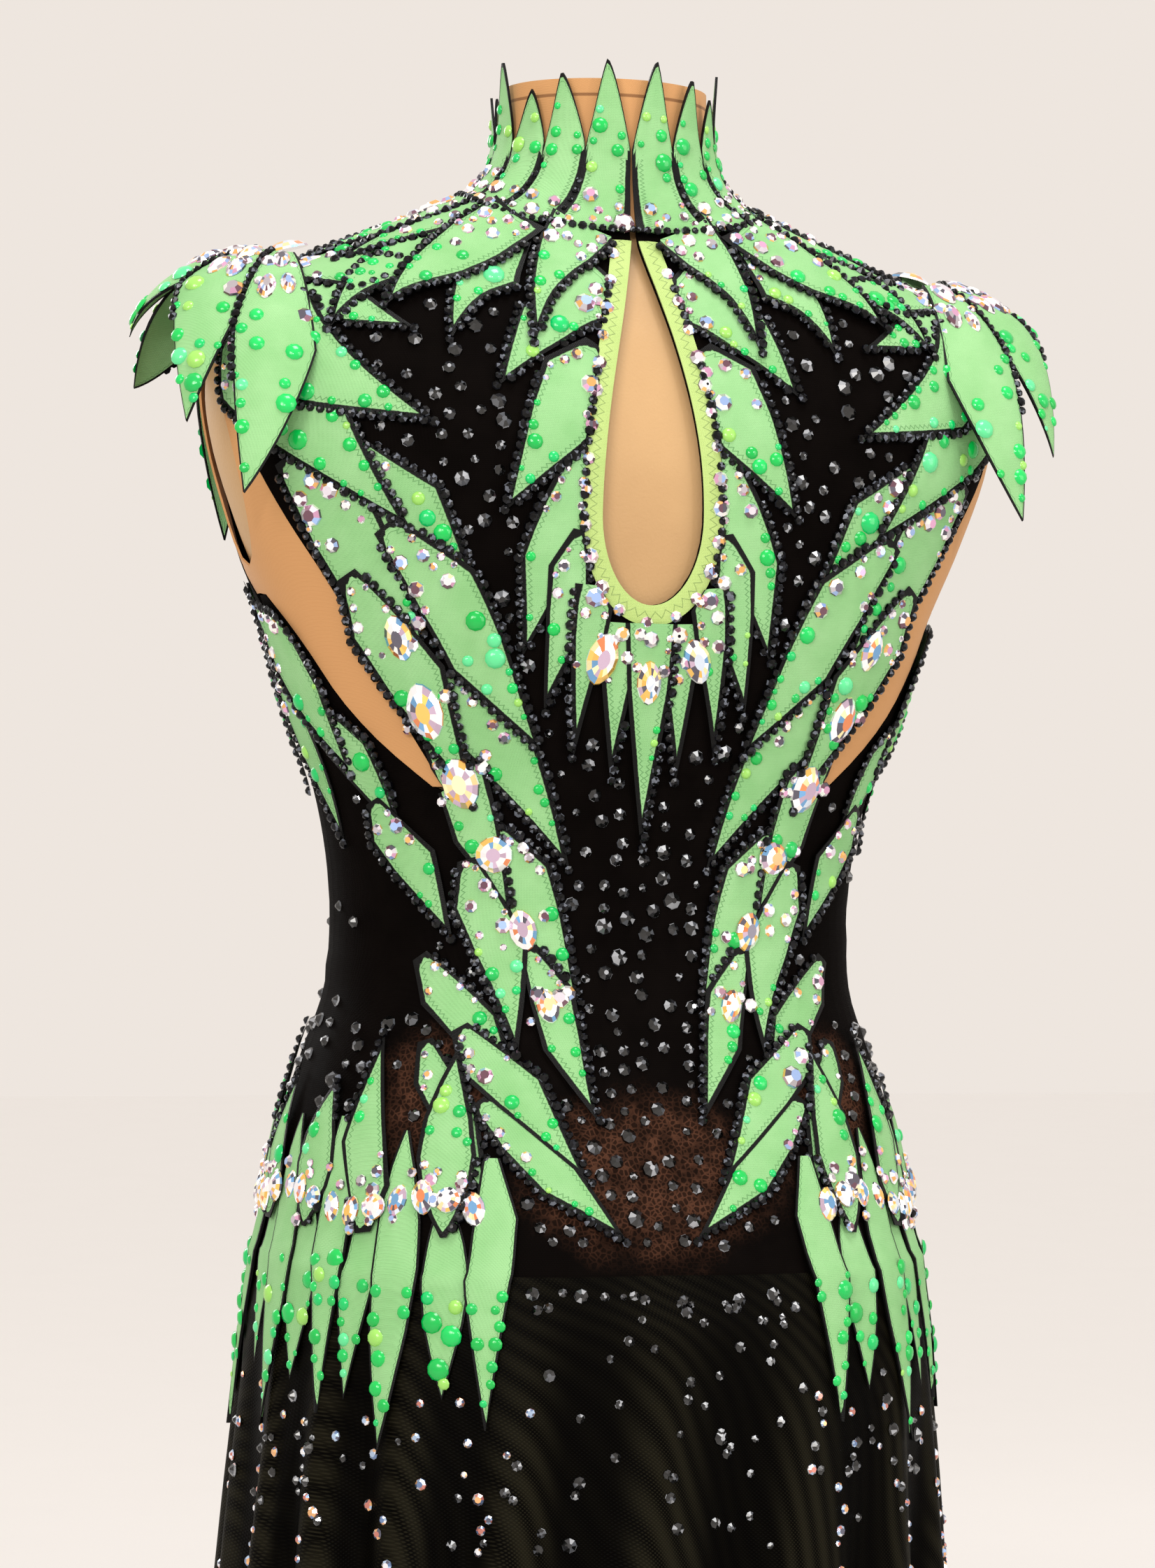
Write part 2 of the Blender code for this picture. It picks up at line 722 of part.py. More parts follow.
def make_brief(parent):
    """The black brief under the skirt, cut higher at the legs."""
    turns = np.arange(0, 360, 9.0)
    low = 0.776 + 0.044 * np.abs(np.sin(np.radians(turns))) ** 3
    high = HIP_SEAM - 0.004
    rows = 3
    grid = []
    for r in range(rows):
        station = low + (high - low) * r / (rows - 1)
        grid.append(over_body(turns, station, np.full(len(turns), FIT)))
    faces = grid_faces(rows, len(turns), closed=True)
    points = np.array(grid).reshape(-1, 3)
    thicken(mesh_object("brief", points, faces, BLACK_CLOTH, parent), MESH_WALL)


def over_hip(turn, height, lift):
    """A point over the bodice above the hip seam, and over the skirt's flutes below it."""
    turn = np.asarray(turn, float)
    height = np.asarray(height, float)
    bodice = over_body(turn, height, BODICE_OUTSIDE + lift)
    off_skirt = flute_depth(height) + SKIRT_WALL + lift
    low = np.minimum(height, HIP_SEAM)
    skirt = skirt_point(turn, low) + skirt_outward(turn, low) * off_skirt[..., None]
    share = np.clip((HIP_SEAM + 0.014 - height) / 0.013, 0, 1)[..., None]
    return bodice * (1 - share) + skirt * share


class HipLeaf(NamedTuple):
    """A hanging leaf: its root, its tip and its widest half width."""

    turn: float
    lean: float
    root: float
    tip: float
    half_width: float


def hip_leaves():
    """The hanging leaves, five to a quarter of the hip, longer towards the sides."""
    leaves = []
    turns = (30.0, 47.0, 63.0, 78.5, 94.0, 109.0, 123.5, 138.0, 152.0, 166.0)
    for i, turn in enumerate(turns):
        long = 0.5 + 0.5 * math.sin(math.radians(turn))
        tip = 0.846 - 0.040 * long - 0.010 * math.sin(2.1 * i)
        root = 0.934 - 0.012 * math.cos(math.radians(2 * turn)) + 0.004 * math.sin(1.3 * i)
        leaves.append(HipLeaf(turn, 1.6 * math.sin(1.9 * i), root, tip, 0.0115))
    return leaves


def leaf_half_width(share):
    """A leaf's half width along it as a share of its widest: narrow root, full middle, sharp tip."""
    body = np.sin(np.pi * np.clip(share, 0, 1) ** 0.82)
    return 0.04 + 0.96 * np.clip(body, 0, 1) ** 0.85


def make_hip_leaves(parent):
    """The leaves that hang from the hip over the skirt, on both sides."""
    number = 0
    across = 3
    for sign in (1, -1):
        for leaf in hip_leaves():
            number += 1
            below = HIP_SEAM + 0.001 - leaf.tip
            height = np.array([
                leaf.root, (leaf.root + HIP_SEAM + 0.014) / 2, HIP_SEAM + 0.014, HIP_SEAM + 0.001,
                leaf.tip + 0.66 * below, leaf.tip + 0.30 * below, leaf.tip,
            ])
            rows = len(height)
            share = (leaf.root - height) / (leaf.root - leaf.tip)
            middle = leaf.turn + leaf.lean * share
            around = np.linalg.norm(
                body_point(middle + 0.5, height) - body_point(middle - 0.5, height), axis=-1
            )
            half = leaf.half_width * leaf_half_width(share) / around
            grid = []
            for r in range(rows):
                turns = middle[r] + half[r] * np.linspace(-1, 1, across)
                level = np.full(across, height[r])
                grid.append(over_hip(turns * sign, level, np.full(across, 2 * PLY)))
            faces = grid_faces(rows, across)
            if sign > 0:
                faces = [tuple(reversed(face)) for face in faces]
            points = np.array(grid).reshape(-1, 3)
            name = f"hip_leaf_{number:02d}"
            thicken(mesh_object(name, points, faces, GREEN_CLOTH, parent), LEAF_WALL)


CAP_ROOT = (0.1503, -0.006, 1.3341)


def cap_point(reach_share, heading):
    """The shoulder cap's surface on the right: an umbrella from the shoulder's point.

    The heading is in degrees from straight out, less than 0 towards the back.
    """
    to_side = np.sin(np.radians(heading)) ** 2
    reach = 0.070 + 0.010 * to_side
    drop = 0.040 + 0.090 * to_side
    angle = np.radians(78.0) * reach_share
    out = reach * np.sin(angle) / math.sin(math.radians(78.0))
    down = drop * (1 - np.cos(angle)) / (1 - math.cos(math.radians(78.0)))
    x = CAP_ROOT[0] + out * np.cos(np.radians(heading))
    y = CAP_ROOT[1] + out * np.sin(np.radians(heading))
    return np.stack([x, y, CAP_ROOT[2] - down], axis=-1)


def make_caps(parent):
    """The leaves that fan out from each shoulder's point, each its own piece."""
    rows = 7
    joined = 0.68
    for side, sign in (("right", 1), ("left", -1)):
        for i in range(CAP_LEAVES):
            heading = CAP_SPREAD * (i - (CAP_LEAVES - 1) / 2)
            grid = []
            for share in np.linspace(0.16, 1.0, rows):
                narrowing = min(1.0, (1.0 - share) / (1.0 - joined))
                half = (CAP_SPREAD / 2 - 0.35 / share) * narrowing**0.8 + 0.25
                headings = heading + half * np.linspace(-1, 1, 5)
                points = cap_point(np.full(5, share), headings)
                points[:, 0] *= sign
                grid.append(points)
            faces = grid_faces(rows, 5)
            if sign < 0:
                faces = [tuple(reversed(face)) for face in faces]
            flat = np.array(grid).reshape(-1, 3)
            name = f"cap_{side}_{i + 1}"
            thicken(mesh_object(name, flat, faces, GREEN_CLOTH, parent), LEAF_WALL)


class Stone(NamedTuple):
    """A large stone on the wearer's right of the back: its place, its turn on the cloth and its size."""

    turn: float
    height: float
    lean: float
    half_length: float
    half_width: float


LARGE_STONES = (
    Stone(46.0, 1.158, 16.0, 0.0110, 0.0065),
    Stone(42.5, 1.126, 16.0, 0.0115, 0.0070),
    Stone(37.5, 1.094, 18.0, 0.0110, 0.0075),
    Stone(31.5, 1.062, 0.0, 0.0090, 0.0090),
    Stone(25.5, 1.028, 16.0, 0.0105, 0.0070),
    Stone(20.0, 0.994, 16.0, 0.0095, 0.0060),
    Stone(8.5, 1.150, -16.0, 0.0115, 0.0070),
)


def make_large_stones(parent):
    """The largest stones, in mirrored pairs: a flat back, and a ring of facets up to a flat table."""
    sides = 8
    step = 2 * math.pi / sides
    rings = ((1.0, 0.0), (0.56, 0.0040))
    for side, sign in (("right", 1), ("left", -1)):
        for number, stone in enumerate(LARGE_STONES, 1):
            station = float(STATION_OF_HEIGHT(stone.height))
            facing = Vector(outward(stone.turn * sign, station))
            across = Vector((0, 0, 1)).cross(facing).normalized()
            up = facing.cross(across)
            lean = math.radians(stone.lean * sign)
            along = up * math.cos(lean) + across * math.sin(lean)
            aside = along.cross(facing)
            foot = Vector(over_body(stone.turn * sign, station, BODICE_OUTSIDE + STONE_GAP))
            points = []
            for reach, rise in rings:
                for i in range(sides):
                    length = math.cos(i * step) * stone.half_length * reach
                    width = math.sin(i * step) * stone.half_width * reach
                    points.append(foot + along * length + aside * width + facing * rise)
            faces = grid_faces(len(rings), sides, closed=True)
            faces.append(tuple(reversed(range(sides))))
            faces.append(tuple(range(len(points) - sides, len(points))))
            shape = bmesh.new()
            for point in points:
                shape.verts.new(point)
            shape.verts.ensure_lookup_table()
            for face in faces:
                shape.faces.new([shape.verts[i] for i in face])
            bmesh.ops.recalc_face_normals(shape, faces=shape.faces)
            mesh = bpy.data.meshes.new(f"stone_{side}_{number}")
            shape.to_mesh(mesh)
            shape.free()
            mesh.materials.append(new_material(CRYSTAL))
            item = bpy.data.objects.new(mesh.name, mesh)
            PARTS.objects.link(item)
            item.parent = parent


def make_neck_button(parent):
    """The cut stone that buttons the collar over the keyhole."""
    station = float(neckline(0.0)) + 0.004
    turn = -3.0
    place = over_body(turn, station, COLLAR_LIFT + LEAF_WALL + 3 * PLY)
    mesh = bpy.data.meshes.new("neck_button")
    shape = bmesh.new()
    bmesh.ops.create_cone(
        shape, cap_ends=True, segments=12, radius1=0.0055, radius2=0.0030, depth=0.0036
    )
    shape.to_mesh(mesh)
    shape.free()
    mesh.materials.append(new_material(CRYSTAL))
    button = bpy.data.objects.new("neck_button", mesh)
    PARTS.objects.link(button)
    button.parent = parent
    facing = Vector(outward(turn, station))
    button.rotation_euler = facing.to_track_quat("Z", "Y").to_euler()
    button.location = Vector(place) + facing * 0.0018


def main():
    """Builds the stand, the form and the dress."""
    root = bpy.data.objects.new("skating_dress", None)
    PARTS.objects.link(root)
    make_stand(root)
    make_form(root)
    make_mesh_sides(root)
    make_mesh_collar(root)
    make_bodice(root)
    make_keyhole_binding(root)
    make_collar(root)
    make_neck_button(root)
    make_large_stones(root)
    make_caps(root)
    make_brief(root)
    make_skirt(root)
    make_hip_leaves(root)


for old in list(bpy.data.objects):
    bpy.data.objects.remove(old)
PARTS = bpy.data.collections.new("skating_dress_parts")
CUTTERS = bpy.data.collections.new("cutters")
bpy.context.scene.collection.children.link(PARTS)
bpy.context.scene.collection.children.link(CUTTERS)
main()
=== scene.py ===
"""A figure skating dress on a dress form, dressed for its render.

Metres, +Z up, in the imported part's frame: the dress's back faces -Y and +X is the wearer's right.
A place on the body is given by its turn, in degrees round from the back's centre, and its station,
which is the height up to the shoulder's ball and from there the way along the shoulder and up the neck.
"""

import logging
import math
from dataclasses import dataclass, field
from enum import Enum
from itertools import product
from typing import Callable, NamedTuple, Sequence

import bpy
import numpy as np
from mathutils import Matrix, Vector
from mathutils.kdtree import KDTree


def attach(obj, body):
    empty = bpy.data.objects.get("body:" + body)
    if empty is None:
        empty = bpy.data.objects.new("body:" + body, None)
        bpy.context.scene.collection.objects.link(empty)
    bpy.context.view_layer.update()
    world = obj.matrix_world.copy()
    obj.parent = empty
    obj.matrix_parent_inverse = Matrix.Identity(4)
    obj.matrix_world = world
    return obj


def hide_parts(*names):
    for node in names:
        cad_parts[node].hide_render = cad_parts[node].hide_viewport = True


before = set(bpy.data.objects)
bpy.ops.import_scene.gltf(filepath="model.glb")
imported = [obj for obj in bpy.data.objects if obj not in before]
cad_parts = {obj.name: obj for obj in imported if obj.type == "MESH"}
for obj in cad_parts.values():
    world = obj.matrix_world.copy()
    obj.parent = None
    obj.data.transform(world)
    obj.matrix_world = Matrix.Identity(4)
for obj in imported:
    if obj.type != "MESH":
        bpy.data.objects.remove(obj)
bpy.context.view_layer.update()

LOG = logging.getLogger("skating_dress")
Array = np.ndarray
Face = tuple[int, ...]
Pair = tuple[float, float]
Row = tuple[float, ...]
Line = Callable[[float], float]
Hidden = Callable[[Array], bool]

UP = np.array((0.0, 0.0, 1.0))
FULL_TURN = 6.283  # in radians, for the shader nodes
HIP_SEAM = 0.880  # the height of the seam that holds the skirt
HEM = 0.600  # the skirt's lower edge
FIT = 0.0012  # from the form to the bodice's inner face
BODICE_OUTSIDE = 0.0027  # from the form to the bodice's outer face
SEWN_WALL = 0.0006  # of a leaf sewn flat
HUNG_WALL = 0.0012  # of a leaf that hangs free
FREE_LEAF_MAP = 2.0  # narrows the black edging of a leaf that hangs free
LAYER_RISE = 0.00055  # from one layer of sewn leaves to the next
JET_SEAT = 0.0002  # from a leaf's face to a jet sewn on it
STRETCH = 1.06  # how much larger stretch cloth is as worn than as cut
BACK, FRONT = "bodice_back_cloth", "bodice_front_cloth"


class SmoothLine:
    """A smooth curve through points, which rises and falls only where the points do."""

    def __init__(self, x: Row, y: Row) -> None:
        """Fits the curve.

        Args:
            x: The places of the points, rising.
            y: Their values.
        """
        self.x, self.y = np.array(x, float), np.array(y, float)
        step = np.diff(self.y) / np.diff(self.x)
        slopes = np.concatenate([[step[0]], (step[:-1] + step[1:]) / 2, [step[-1]]])
        for i in range(1, len(self.x) - 1):
            if step[i - 1] * step[i] <= 0:
                slopes[i] = 0.0
            else:
                slopes[i] = np.sign(slopes[i]) * min(abs(slopes[i]), 3 * abs(step[i - 1]), 3 * abs(step[i]))
        self.slopes = slopes

    def __call__(self, at: Array | float) -> Array:
        """The curve's value at one place or many.

        Args:
            at: The places.

        Returns:
            The values.
        """
        at = np.clip(np.asarray(at, float), self.x[0], self.x[-1])
        i = np.clip(np.searchsorted(self.x, at, side="right") - 1, 0, len(self.x) - 2)
        width = self.x[i + 1] - self.x[i]
        s = (at - self.x[i]) / width
        ends = self.y[i] * (1 + 2 * s) * (1 - s) ** 2 + self.y[i + 1] * s**2 * (3 - 2 * s)
        bend = self.slopes[i] * s * (1 - s) ** 2 - self.slopes[i + 1] * s**2 * (1 - s)
        return ends + width * bend


def unit(vectors: Array) -> Array:
    """The same vectors, each one long."""
    return vectors / np.maximum(np.linalg.norm(vectors, axis=-1, keepdims=True), 1e-12)


@dataclass
class Figure:
    """The dress form's shape, from level cuts, and the cloth's creases over it.

    A cut is (station, height, half width, middle, back, front, squareness), a swell (side, aside, height,
    spread across, spread up, amount), a crease (station, turn, reach, width, amount, lean).
    """

    cuts: tuple[Row, ...] = (
        (0.770, 0.770, 0.1460, 0.000, 0.120, 0.090, 2.3),
        (0.815, 0.815, 0.1500, 0.000, 0.126, 0.092, 2.3),
        (0.860, 0.860, 0.1502, 0.000, 0.127, 0.095, 2.3),
        (0.900, 0.900, 0.1465, 0.000, 0.119, 0.097, 2.3),
        (0.935, 0.935, 0.1405, 0.000, 0.107, 0.098, 2.3),
        (0.965, 0.965, 0.1315, 0.000, 0.095, 0.096, 2.3),
        (1.000, 1.000, 0.1205, 0.000, 0.084, 0.091, 2.2),
        (1.030, 1.030, 0.1190, 0.000, 0.079, 0.087, 2.2),
        (1.055, 1.055, 0.1208, 0.000, 0.078, 0.086, 2.2),
        (1.090, 1.090, 0.1280, -0.001, 0.079, 0.088, 2.2),
        (1.130, 1.130, 0.1425, -0.002, 0.083, 0.093, 2.3),
        (1.170, 1.170, 0.1540, -0.004, 0.085, 0.096, 2.4),
        (1.210, 1.210, 0.1710, -0.005, 0.084, 0.093, 2.4),
        (1.245, 1.245, 0.1830, -0.006, 0.081, 0.086, 2.5),
        (1.272, 1.271, 0.1870, -0.006, 0.076, 0.077, 2.5),
        (1.297, 1.294, 0.1820, -0.006, 0.069, 0.068, 2.5),
        (1.320, 1.312, 0.1670, -0.006, 0.061, 0.060, 2.4),
        (1.345, 1.325, 0.1430, -0.006, 0.054, 0.054, 2.3),
        (1.375, 1.338, 0.1120, -0.006, 0.047, 0.051, 2.2),
        (1.402, 1.350, 0.0840, -0.005, 0.043, 0.050, 2.1),
        (1.422, 1.359, 0.0660, -0.004, 0.042, 0.050, 2.0),
        (1.438, 1.370, 0.0545, -0.003, 0.041, 0.050, 2.0),
        (1.455, 1.385, 0.0480, -0.002, 0.041, 0.048, 2.0),
        (1.475, 1.403, 0.0458, -0.001, 0.041, 0.046, 2.0),
        (1.510, 1.437, 0.0455, 0.000, 0.041, 0.045, 2.0),
    )
    swells: tuple[Row, ...] = (
        (1, 0.074, 1.168, 0.052, 0.048, 0.026),
        (-1, 0.070, 0.862, 0.062, 0.055, 0.011),
        (-1, 0.080, 1.232, 0.055, 0.060, 0.005),
    )
    creases: tuple[Row, ...] = (
        (1.018, 60.0, 30.0, 0.0045, 0.0007, 0.10),
        (1.038, -68.0, 26.0, 0.0050, 0.0008, -0.12),
        (1.052, 95.0, 24.0, 0.0042, 0.0006, 0.15),
        (1.008, -100.0, 32.0, 0.0048, 0.0007, -0.08),
        (1.030, 128.0, 30.0, 0.0044, 0.0006, -0.10),
        (1.046, -150.0, 34.0, 0.0046, 0.0006, 0.06),
        (1.002, 168.0, 36.0, 0.0050, 0.0006, 0.05),
        (0.972, 30.0, 22.0, 0.0040, 0.0004, -0.16),
        (0.976, -38.0, 20.0, 0.0042, 0.0004, 0.14),
    )
    inner_edge: tuple[Pair, ...] = (
        (1.090, 41.5), (1.130, 50.0), (1.165, 57.0), (1.191, 61.5), (1.215, 66.0), (1.250, 72.0), (1.290, 76.5),
        (1.320, 82.0), (1.340, 90.0),
    )
    outer_edge: tuple[Pair, ...] = (
        (1.090, 43.5), (1.110, 55.0), (1.130, 64.0), (1.150, 71.5), (1.165, 78.5), (1.178, 86.0),
    )
    front_armhole: tuple[Pair, ...] = (
        (1.165, 90.0), (1.178, 92.0), (1.191, 99.0), (1.215, 106.0), (1.250, 109.0), (1.290, 107.0),
        (1.320, 100.0), (1.340, 90.0),
    )
    strip_foot: float = 1.090
    underarm: float = 1.170
    shoulder: float = 1.340
    neckline_side: float = 1.425
    neckline_rise_from: float = 1.265

    def __post_init__(self) -> None:
        """Fits a smooth curve to each column of the cuts and to each cut edge of the cloth."""
        columns = list(zip(*self.cuts))
        lines = [SmoothLine(columns[0], column) for column in columns[1:]]
        self.height, self.half_width, self.middle, self.back, self.front, self.squareness = lines
        self.station_of_height = SmoothLine(columns[1], columns[0])
        edges = (self.inner_edge, self.outer_edge, self.front_armhole)
        self.inner, self.outer, self.armhole = (SmoothLine(*zip(*edge)) for edge in edges)

    def point(self, turn: Array, station: Array) -> Array:
        """The form's surface.

        Args:
            turn: Degrees round from the back's centre.
            station: The places up the body.

        Returns:
            The points, in the last axis.
        """
        angle = np.radians(turn)
        across = np.abs(np.sin(angle))
        x = self.half_width(station) * np.sin(angle)
        z = self.height(station) + 0 * x
        power = self.squareness(station)
        depth = np.clip(1 - across**power, 0, 1) ** (1 / power)
        side = np.where(np.cos(angle) >= 0, -1, 1)
        out = np.where(side < 0, self.back(station), self.front(station)) * depth
        for swell_side, aside, height, spread_x, spread_z, amount in self.swells:
            off = ((np.abs(x) - aside) / spread_x) ** 2 + ((z - height) / spread_z) ** 2
            out = out + np.where(side == swell_side, amount * np.exp(-off) * depth, 0)
        return np.stack([x, self.middle(station) + side * out, z], axis=-1)

    def outward(self, turn: Array, station: Array) -> Array:
        """The outward direction of the form's surface.

        Args:
            turn: The turns.
            station: The stations.

        Returns:
            The directions.
        """
        round_it = self.point(turn + 0.6, station) - self.point(turn - 0.6, station)
        up_it = self.point(turn, station + 0.003) - self.point(turn, station - 0.003)
        return unit(np.cross(round_it, up_it))

    def crease(self, turn: Array, station: Array) -> Array:
        """How far the cloth stands proud of its fit, in soft uneven folds about the waist.

        Args:
            turn: The turns.
            station: The stations.

        Returns:
            The heights of the folds.
        """
        total = np.zeros(np.broadcast(turn, station).shape)
        for at, centre, spread, width, amount, lean in self.creases:
            off = (np.asarray(turn, float) - centre + 180) % 360 - 180
            line = station - at - lean * np.radians(off) * 0.10
            fade = np.exp(-((off / spread) ** 2))
            total += amount * fade * np.exp(-((line / width) ** 2))
        return total

    def over(self, turn: Array, station: Array, lift: Array | float, creased: bool = False) -> Array:
        """Points off the form.

        Args:
            turn: The turns.
            station: The stations.
            lift: How far off the form they lie.
            creased: Whether they also lie over the cloth's creases.

        Returns:
            The points.
        """
        turn, station = np.broadcast_arrays(np.asarray(turn, float), np.asarray(station, float))
        lift = lift + (self.crease(turn, station) if creased else 0.0) + np.zeros(turn.shape)
        return self.point(turn, station) + self.outward(turn, station) * lift[..., None]

    def seat(self, turn: float, station: float, lift: float, creased: bool = False) -> tuple[Array, Array]:
        """One point off the form, and the outward direction there."""
        spot = np.array(turn), np.array(station)
        return self.over(*spot, lift, creased), self.outward(*spot)

    def moved(self, turn: Array, station: Array, step: Array) -> tuple[Array, Array]:
        """Short steps along the surface.

        Args:
            turn: Where each step starts.
            station: Where each step starts.
            step: The steps, as vectors.

        Returns:
            The turns and the stations at the steps' ends.
        """
        a = (self.point(turn + 0.4, station) - self.point(turn - 0.4, station)) / 0.8
        b = (self.point(turn, station + 0.001) - self.point(turn, station - 0.001)) / 0.002
        aa, bb, ab = (a * a).sum(-1), (b * b).sum(-1), (a * b).sum(-1)
        sa, sb = (step * a).sum(-1), (step * b).sum(-1)
        whole = aa * bb - ab * ab
        return turn + (sa * bb - sb * ab) / whole, station + (sb * aa - sa * ab) / whole

    def neckline(self, turn: Array | float) -> Array:
        """The station of the collar's seam.

        Args:
            turn: The turns.

        Returns:
            The stations.
        """
        cosine = np.cos(np.radians(turn))
        back, front = 0.036 * np.abs(cosine) ** 1.6, 0.086 * np.abs(cosine) ** 1.3
        return self.neckline_side - np.where(cosine > 0, back, front)

    def under_neckline(self, turn: Array, station: Array) -> Array:
        """Brings a panel's top rows down to the neckline.

        Args:
            turn: The turns.
            station: The stations as on a level panel.

        Returns:
            The stations as cut.
        """
        reach = self.neckline_side - self.neckline_rise_from
        share = np.clip((station - self.neckline_rise_from) / reach, 0, 1)
        return station - (self.neckline_side - self.neckline(turn)) * share

    def kept_on_cloth(self, turn: Array, station: Array, outside: bool) -> Array:
        """Holds turns off the open strips and armholes.

        Args:
            turn: The turns.
            station: The stations.
            outside: Whether they belong to the cloth outside the strip, and not to the back's middle.

        Returns:
            The turns, moved to the cut edge where they were past it.
        """
        size, beside = np.abs(turn), (station > self.strip_foot) & (station < self.shoulder)
        if outside:
            edge = np.where(station < self.underarm, self.outer(station) + 0.7, self.armhole(station) + 0.7)
            held = np.maximum(size, edge)
        else:
            up_strip = np.clip((station - self.strip_foot) / (self.shoulder - self.strip_foot), 0, 1)
            held = np.minimum(size, self.inner(station) - 0.5 + 3.5 * np.sin(np.pi * up_strip))
        return np.sign(turn) * np.where(beside, held, size)

    def back_place(self, x: float, z: float) -> Pair:
        """The turn and station of a point of the back, from how it looks from straight behind.

        Args:
            x: Its way to the side.
            z: Its height.

        Returns:
            The turn and the station.
        """
        station = float(self.station_of_height(z))
        share = max(-1.0, min(1.0, x / float(self.half_width(station))))
        return math.degrees(math.asin(share)), station


FIGURE = Figure()


class Out:
    """One output of a node, which the usual signs combine with other outputs and with numbers."""

    def __init__(self, tree: "Tree", node: bpy.types.Node, key: int | str = 0) -> None:
        """Keeps the node and which of its outputs is meant."""
        self.tree, self.node, self.key = tree, node, key

    def __getitem__(self, key: int | str) -> "Out":
        """Another output of the same node."""
        return Out(self.tree, self.node, key)

    def __add__(self, other: object) -> "Out":
        """The sum."""
        return self.tree.math("ADD", self, other)

    def __sub__(self, other: object) -> "Out":
        """The difference."""
        return self.tree.math("SUBTRACT", self, other)

    def __mul__(self, other: object) -> "Out":
        """The product."""
        return self.tree.math("MULTIPLY", self, other)

    def __truediv__(self, other: object) -> "Out":
        """The quotient."""
        return self.tree.math("DIVIDE", self, other)


class Tree:
    """Short calls for building a node tree."""

    def __init__(self, tree: bpy.types.NodeTree) -> None:
        """Keeps the tree that the calls add to."""
        self.tree = tree

    def feed(self, node: bpy.types.Node, sockets: dict) -> None:
        """Fills a node's inputs.

        Args:
            node: The node.
            sockets: What goes into each input, by number or name: another node's output, or a value.
        """
        for key, value in sockets.items():
            if isinstance(value, Out):
                self.tree.links.new(value.node.outputs[value.key], node.inputs[key])
            else:
                node.inputs[key].default_value = value

    def node(self, kind: str, sockets: dict | None = None, **settings: object) -> Out:
        """Adds a node.

        Args:
            kind: The node's type.
            sockets: What goes into its inputs.
            settings: The node's own settings.

        Returns:
            The node's first output.
        """
        made = self.tree.nodes.new(kind)
        for key, value in settings.items():
            setattr(made, key, value)
        self.feed(made, sockets or {})
        return Out(self, made)

    def math(self, operation: str, *values: object) -> Out:
        """An operation on numbers."""
        return self.node("ShaderNodeMath", dict(enumerate(values)), operation=operation)

    def vector(self, operation: str, *values: object) -> Out:
        """An operation on vectors."""
        return self.node("ShaderNodeVectorMath", dict(enumerate(values)), operation=operation)

    def parts(self, vector: Out) -> Out:
        """A vector's three numbers."""
        return self.node("ShaderNodeSeparateXYZ", {0: vector})

    def mix(self, share: object, first: object, second: object) -> Out:
        """Two colours, mixed by a share."""
        colours = [value if isinstance(value, Out) else (*value, 1.0) for value in (first, second)]
        return self.node("ShaderNodeMix", {0: share, 6: colours[0], 7: colours[1]}, data_type="RGBA")[2]

    def step(self, value: Out, low: float, high: float, start: float = 0.0, end: float = 1.0) -> Out:
        """A smooth change from start to end while the value goes from low to high."""
        sockets = {0: value, 1: low, 2: high, 3: start, 4: end}
        return self.node("ShaderNodeMapRange", sockets, interpolation_type="SMOOTHSTEP")

    def noise(self, vector: Out, scale: float, detail: float = 2.0) -> Out:
        """Soft noise from 0 to 1."""
        return self.node("ShaderNodeTexNoise", {0: vector, 2: scale, 3: detail})


class Shared(Tree):
    """A shader node group that finishes place, each with its own values."""

    def __init__(self, name: str, **inputs: float | Row) -> None:
        """Starts the group.

        Args:
            name: The group's name.
            inputs: Its named inputs with their usual values.
        """
        super().__init__(bpy.data.node_groups.new(name, "ShaderNodeTree"))
        for label, value in inputs.items():
            kind = "NodeSocketVector" if isinstance(value, tuple) else "NodeSocketFloat"
            self.tree.interface.new_socket(name=label, in_out="INPUT", socket_type=kind).default_value = value
        self.given = self.node("NodeGroupInput")

    def finish(self, **outputs: Out) -> bpy.types.NodeTree:
        """Gives the group its named outputs.

        Args:
            outputs: What they put out.

        Returns:
            The group.
        """
        for label in outputs:
            self.tree.interface.new_socket(name=label, in_out="OUTPUT", socket_type="NodeSocketFloat")
        self.node("NodeGroupOutput", outputs)
        return self.tree


def knit_relief() -> bpy.types.NodeTree:
    """The fine relief of knitted stretch cloth: rows of loops, slightly uneven.

    Returns:
        The group.
    """
    tree = Shared("knit_relief", Place=(0.0, 0.0, 0.0), Pitch=0.001)
    parts = tree.parts(tree.vector("DIVIDE", tree.given["Place"], tree.given["Pitch"]))
    wale = tree.math("SINE", (parts[0] + parts[1]) * FULL_TURN)
    loops = tree.math("SINE", parts[2] * 7.4 + wale * 1.4)
    shade = tree.step(tree.noise(tree.given["Place"], 60.0, 3.0), 0.25, 0.75)
    return tree.finish(Height=(wale + 1.4) * (loops + 1.4) * 0.174, Shade=shade)


def net_holes() -> bpy.types.NodeTree:
    """The holes of sheer net, as a mask, with the slow bands that two layers of net make.

    Returns:
        The group.
    """
    tree = Shared("net_holes", Place=(0.0, 0.0, 0.0), Pitch=0.0012, Bands=60.0)
    parts = tree.parts(tree.given["Place"])
    around = parts[0] + parts[1] * 0.8
    ways = (around + parts[2], around - parts[2])
    first, second = (tree.math("SINE", way / tree.given["Pitch"] * FULL_TURN) + 1.0 for way in ways)
    slow = tree.noise(tree.given["Place"], 5.0, 1.0) * 26.0
    phase = (parts[2] * 0.55 + around) * tree.given["Bands"] + slow
    band = tree.math("SINE", phase * FULL_TURN) * 0.5 + 0.5
    return tree.finish(Hole=first * second * 0.25, Band=band)


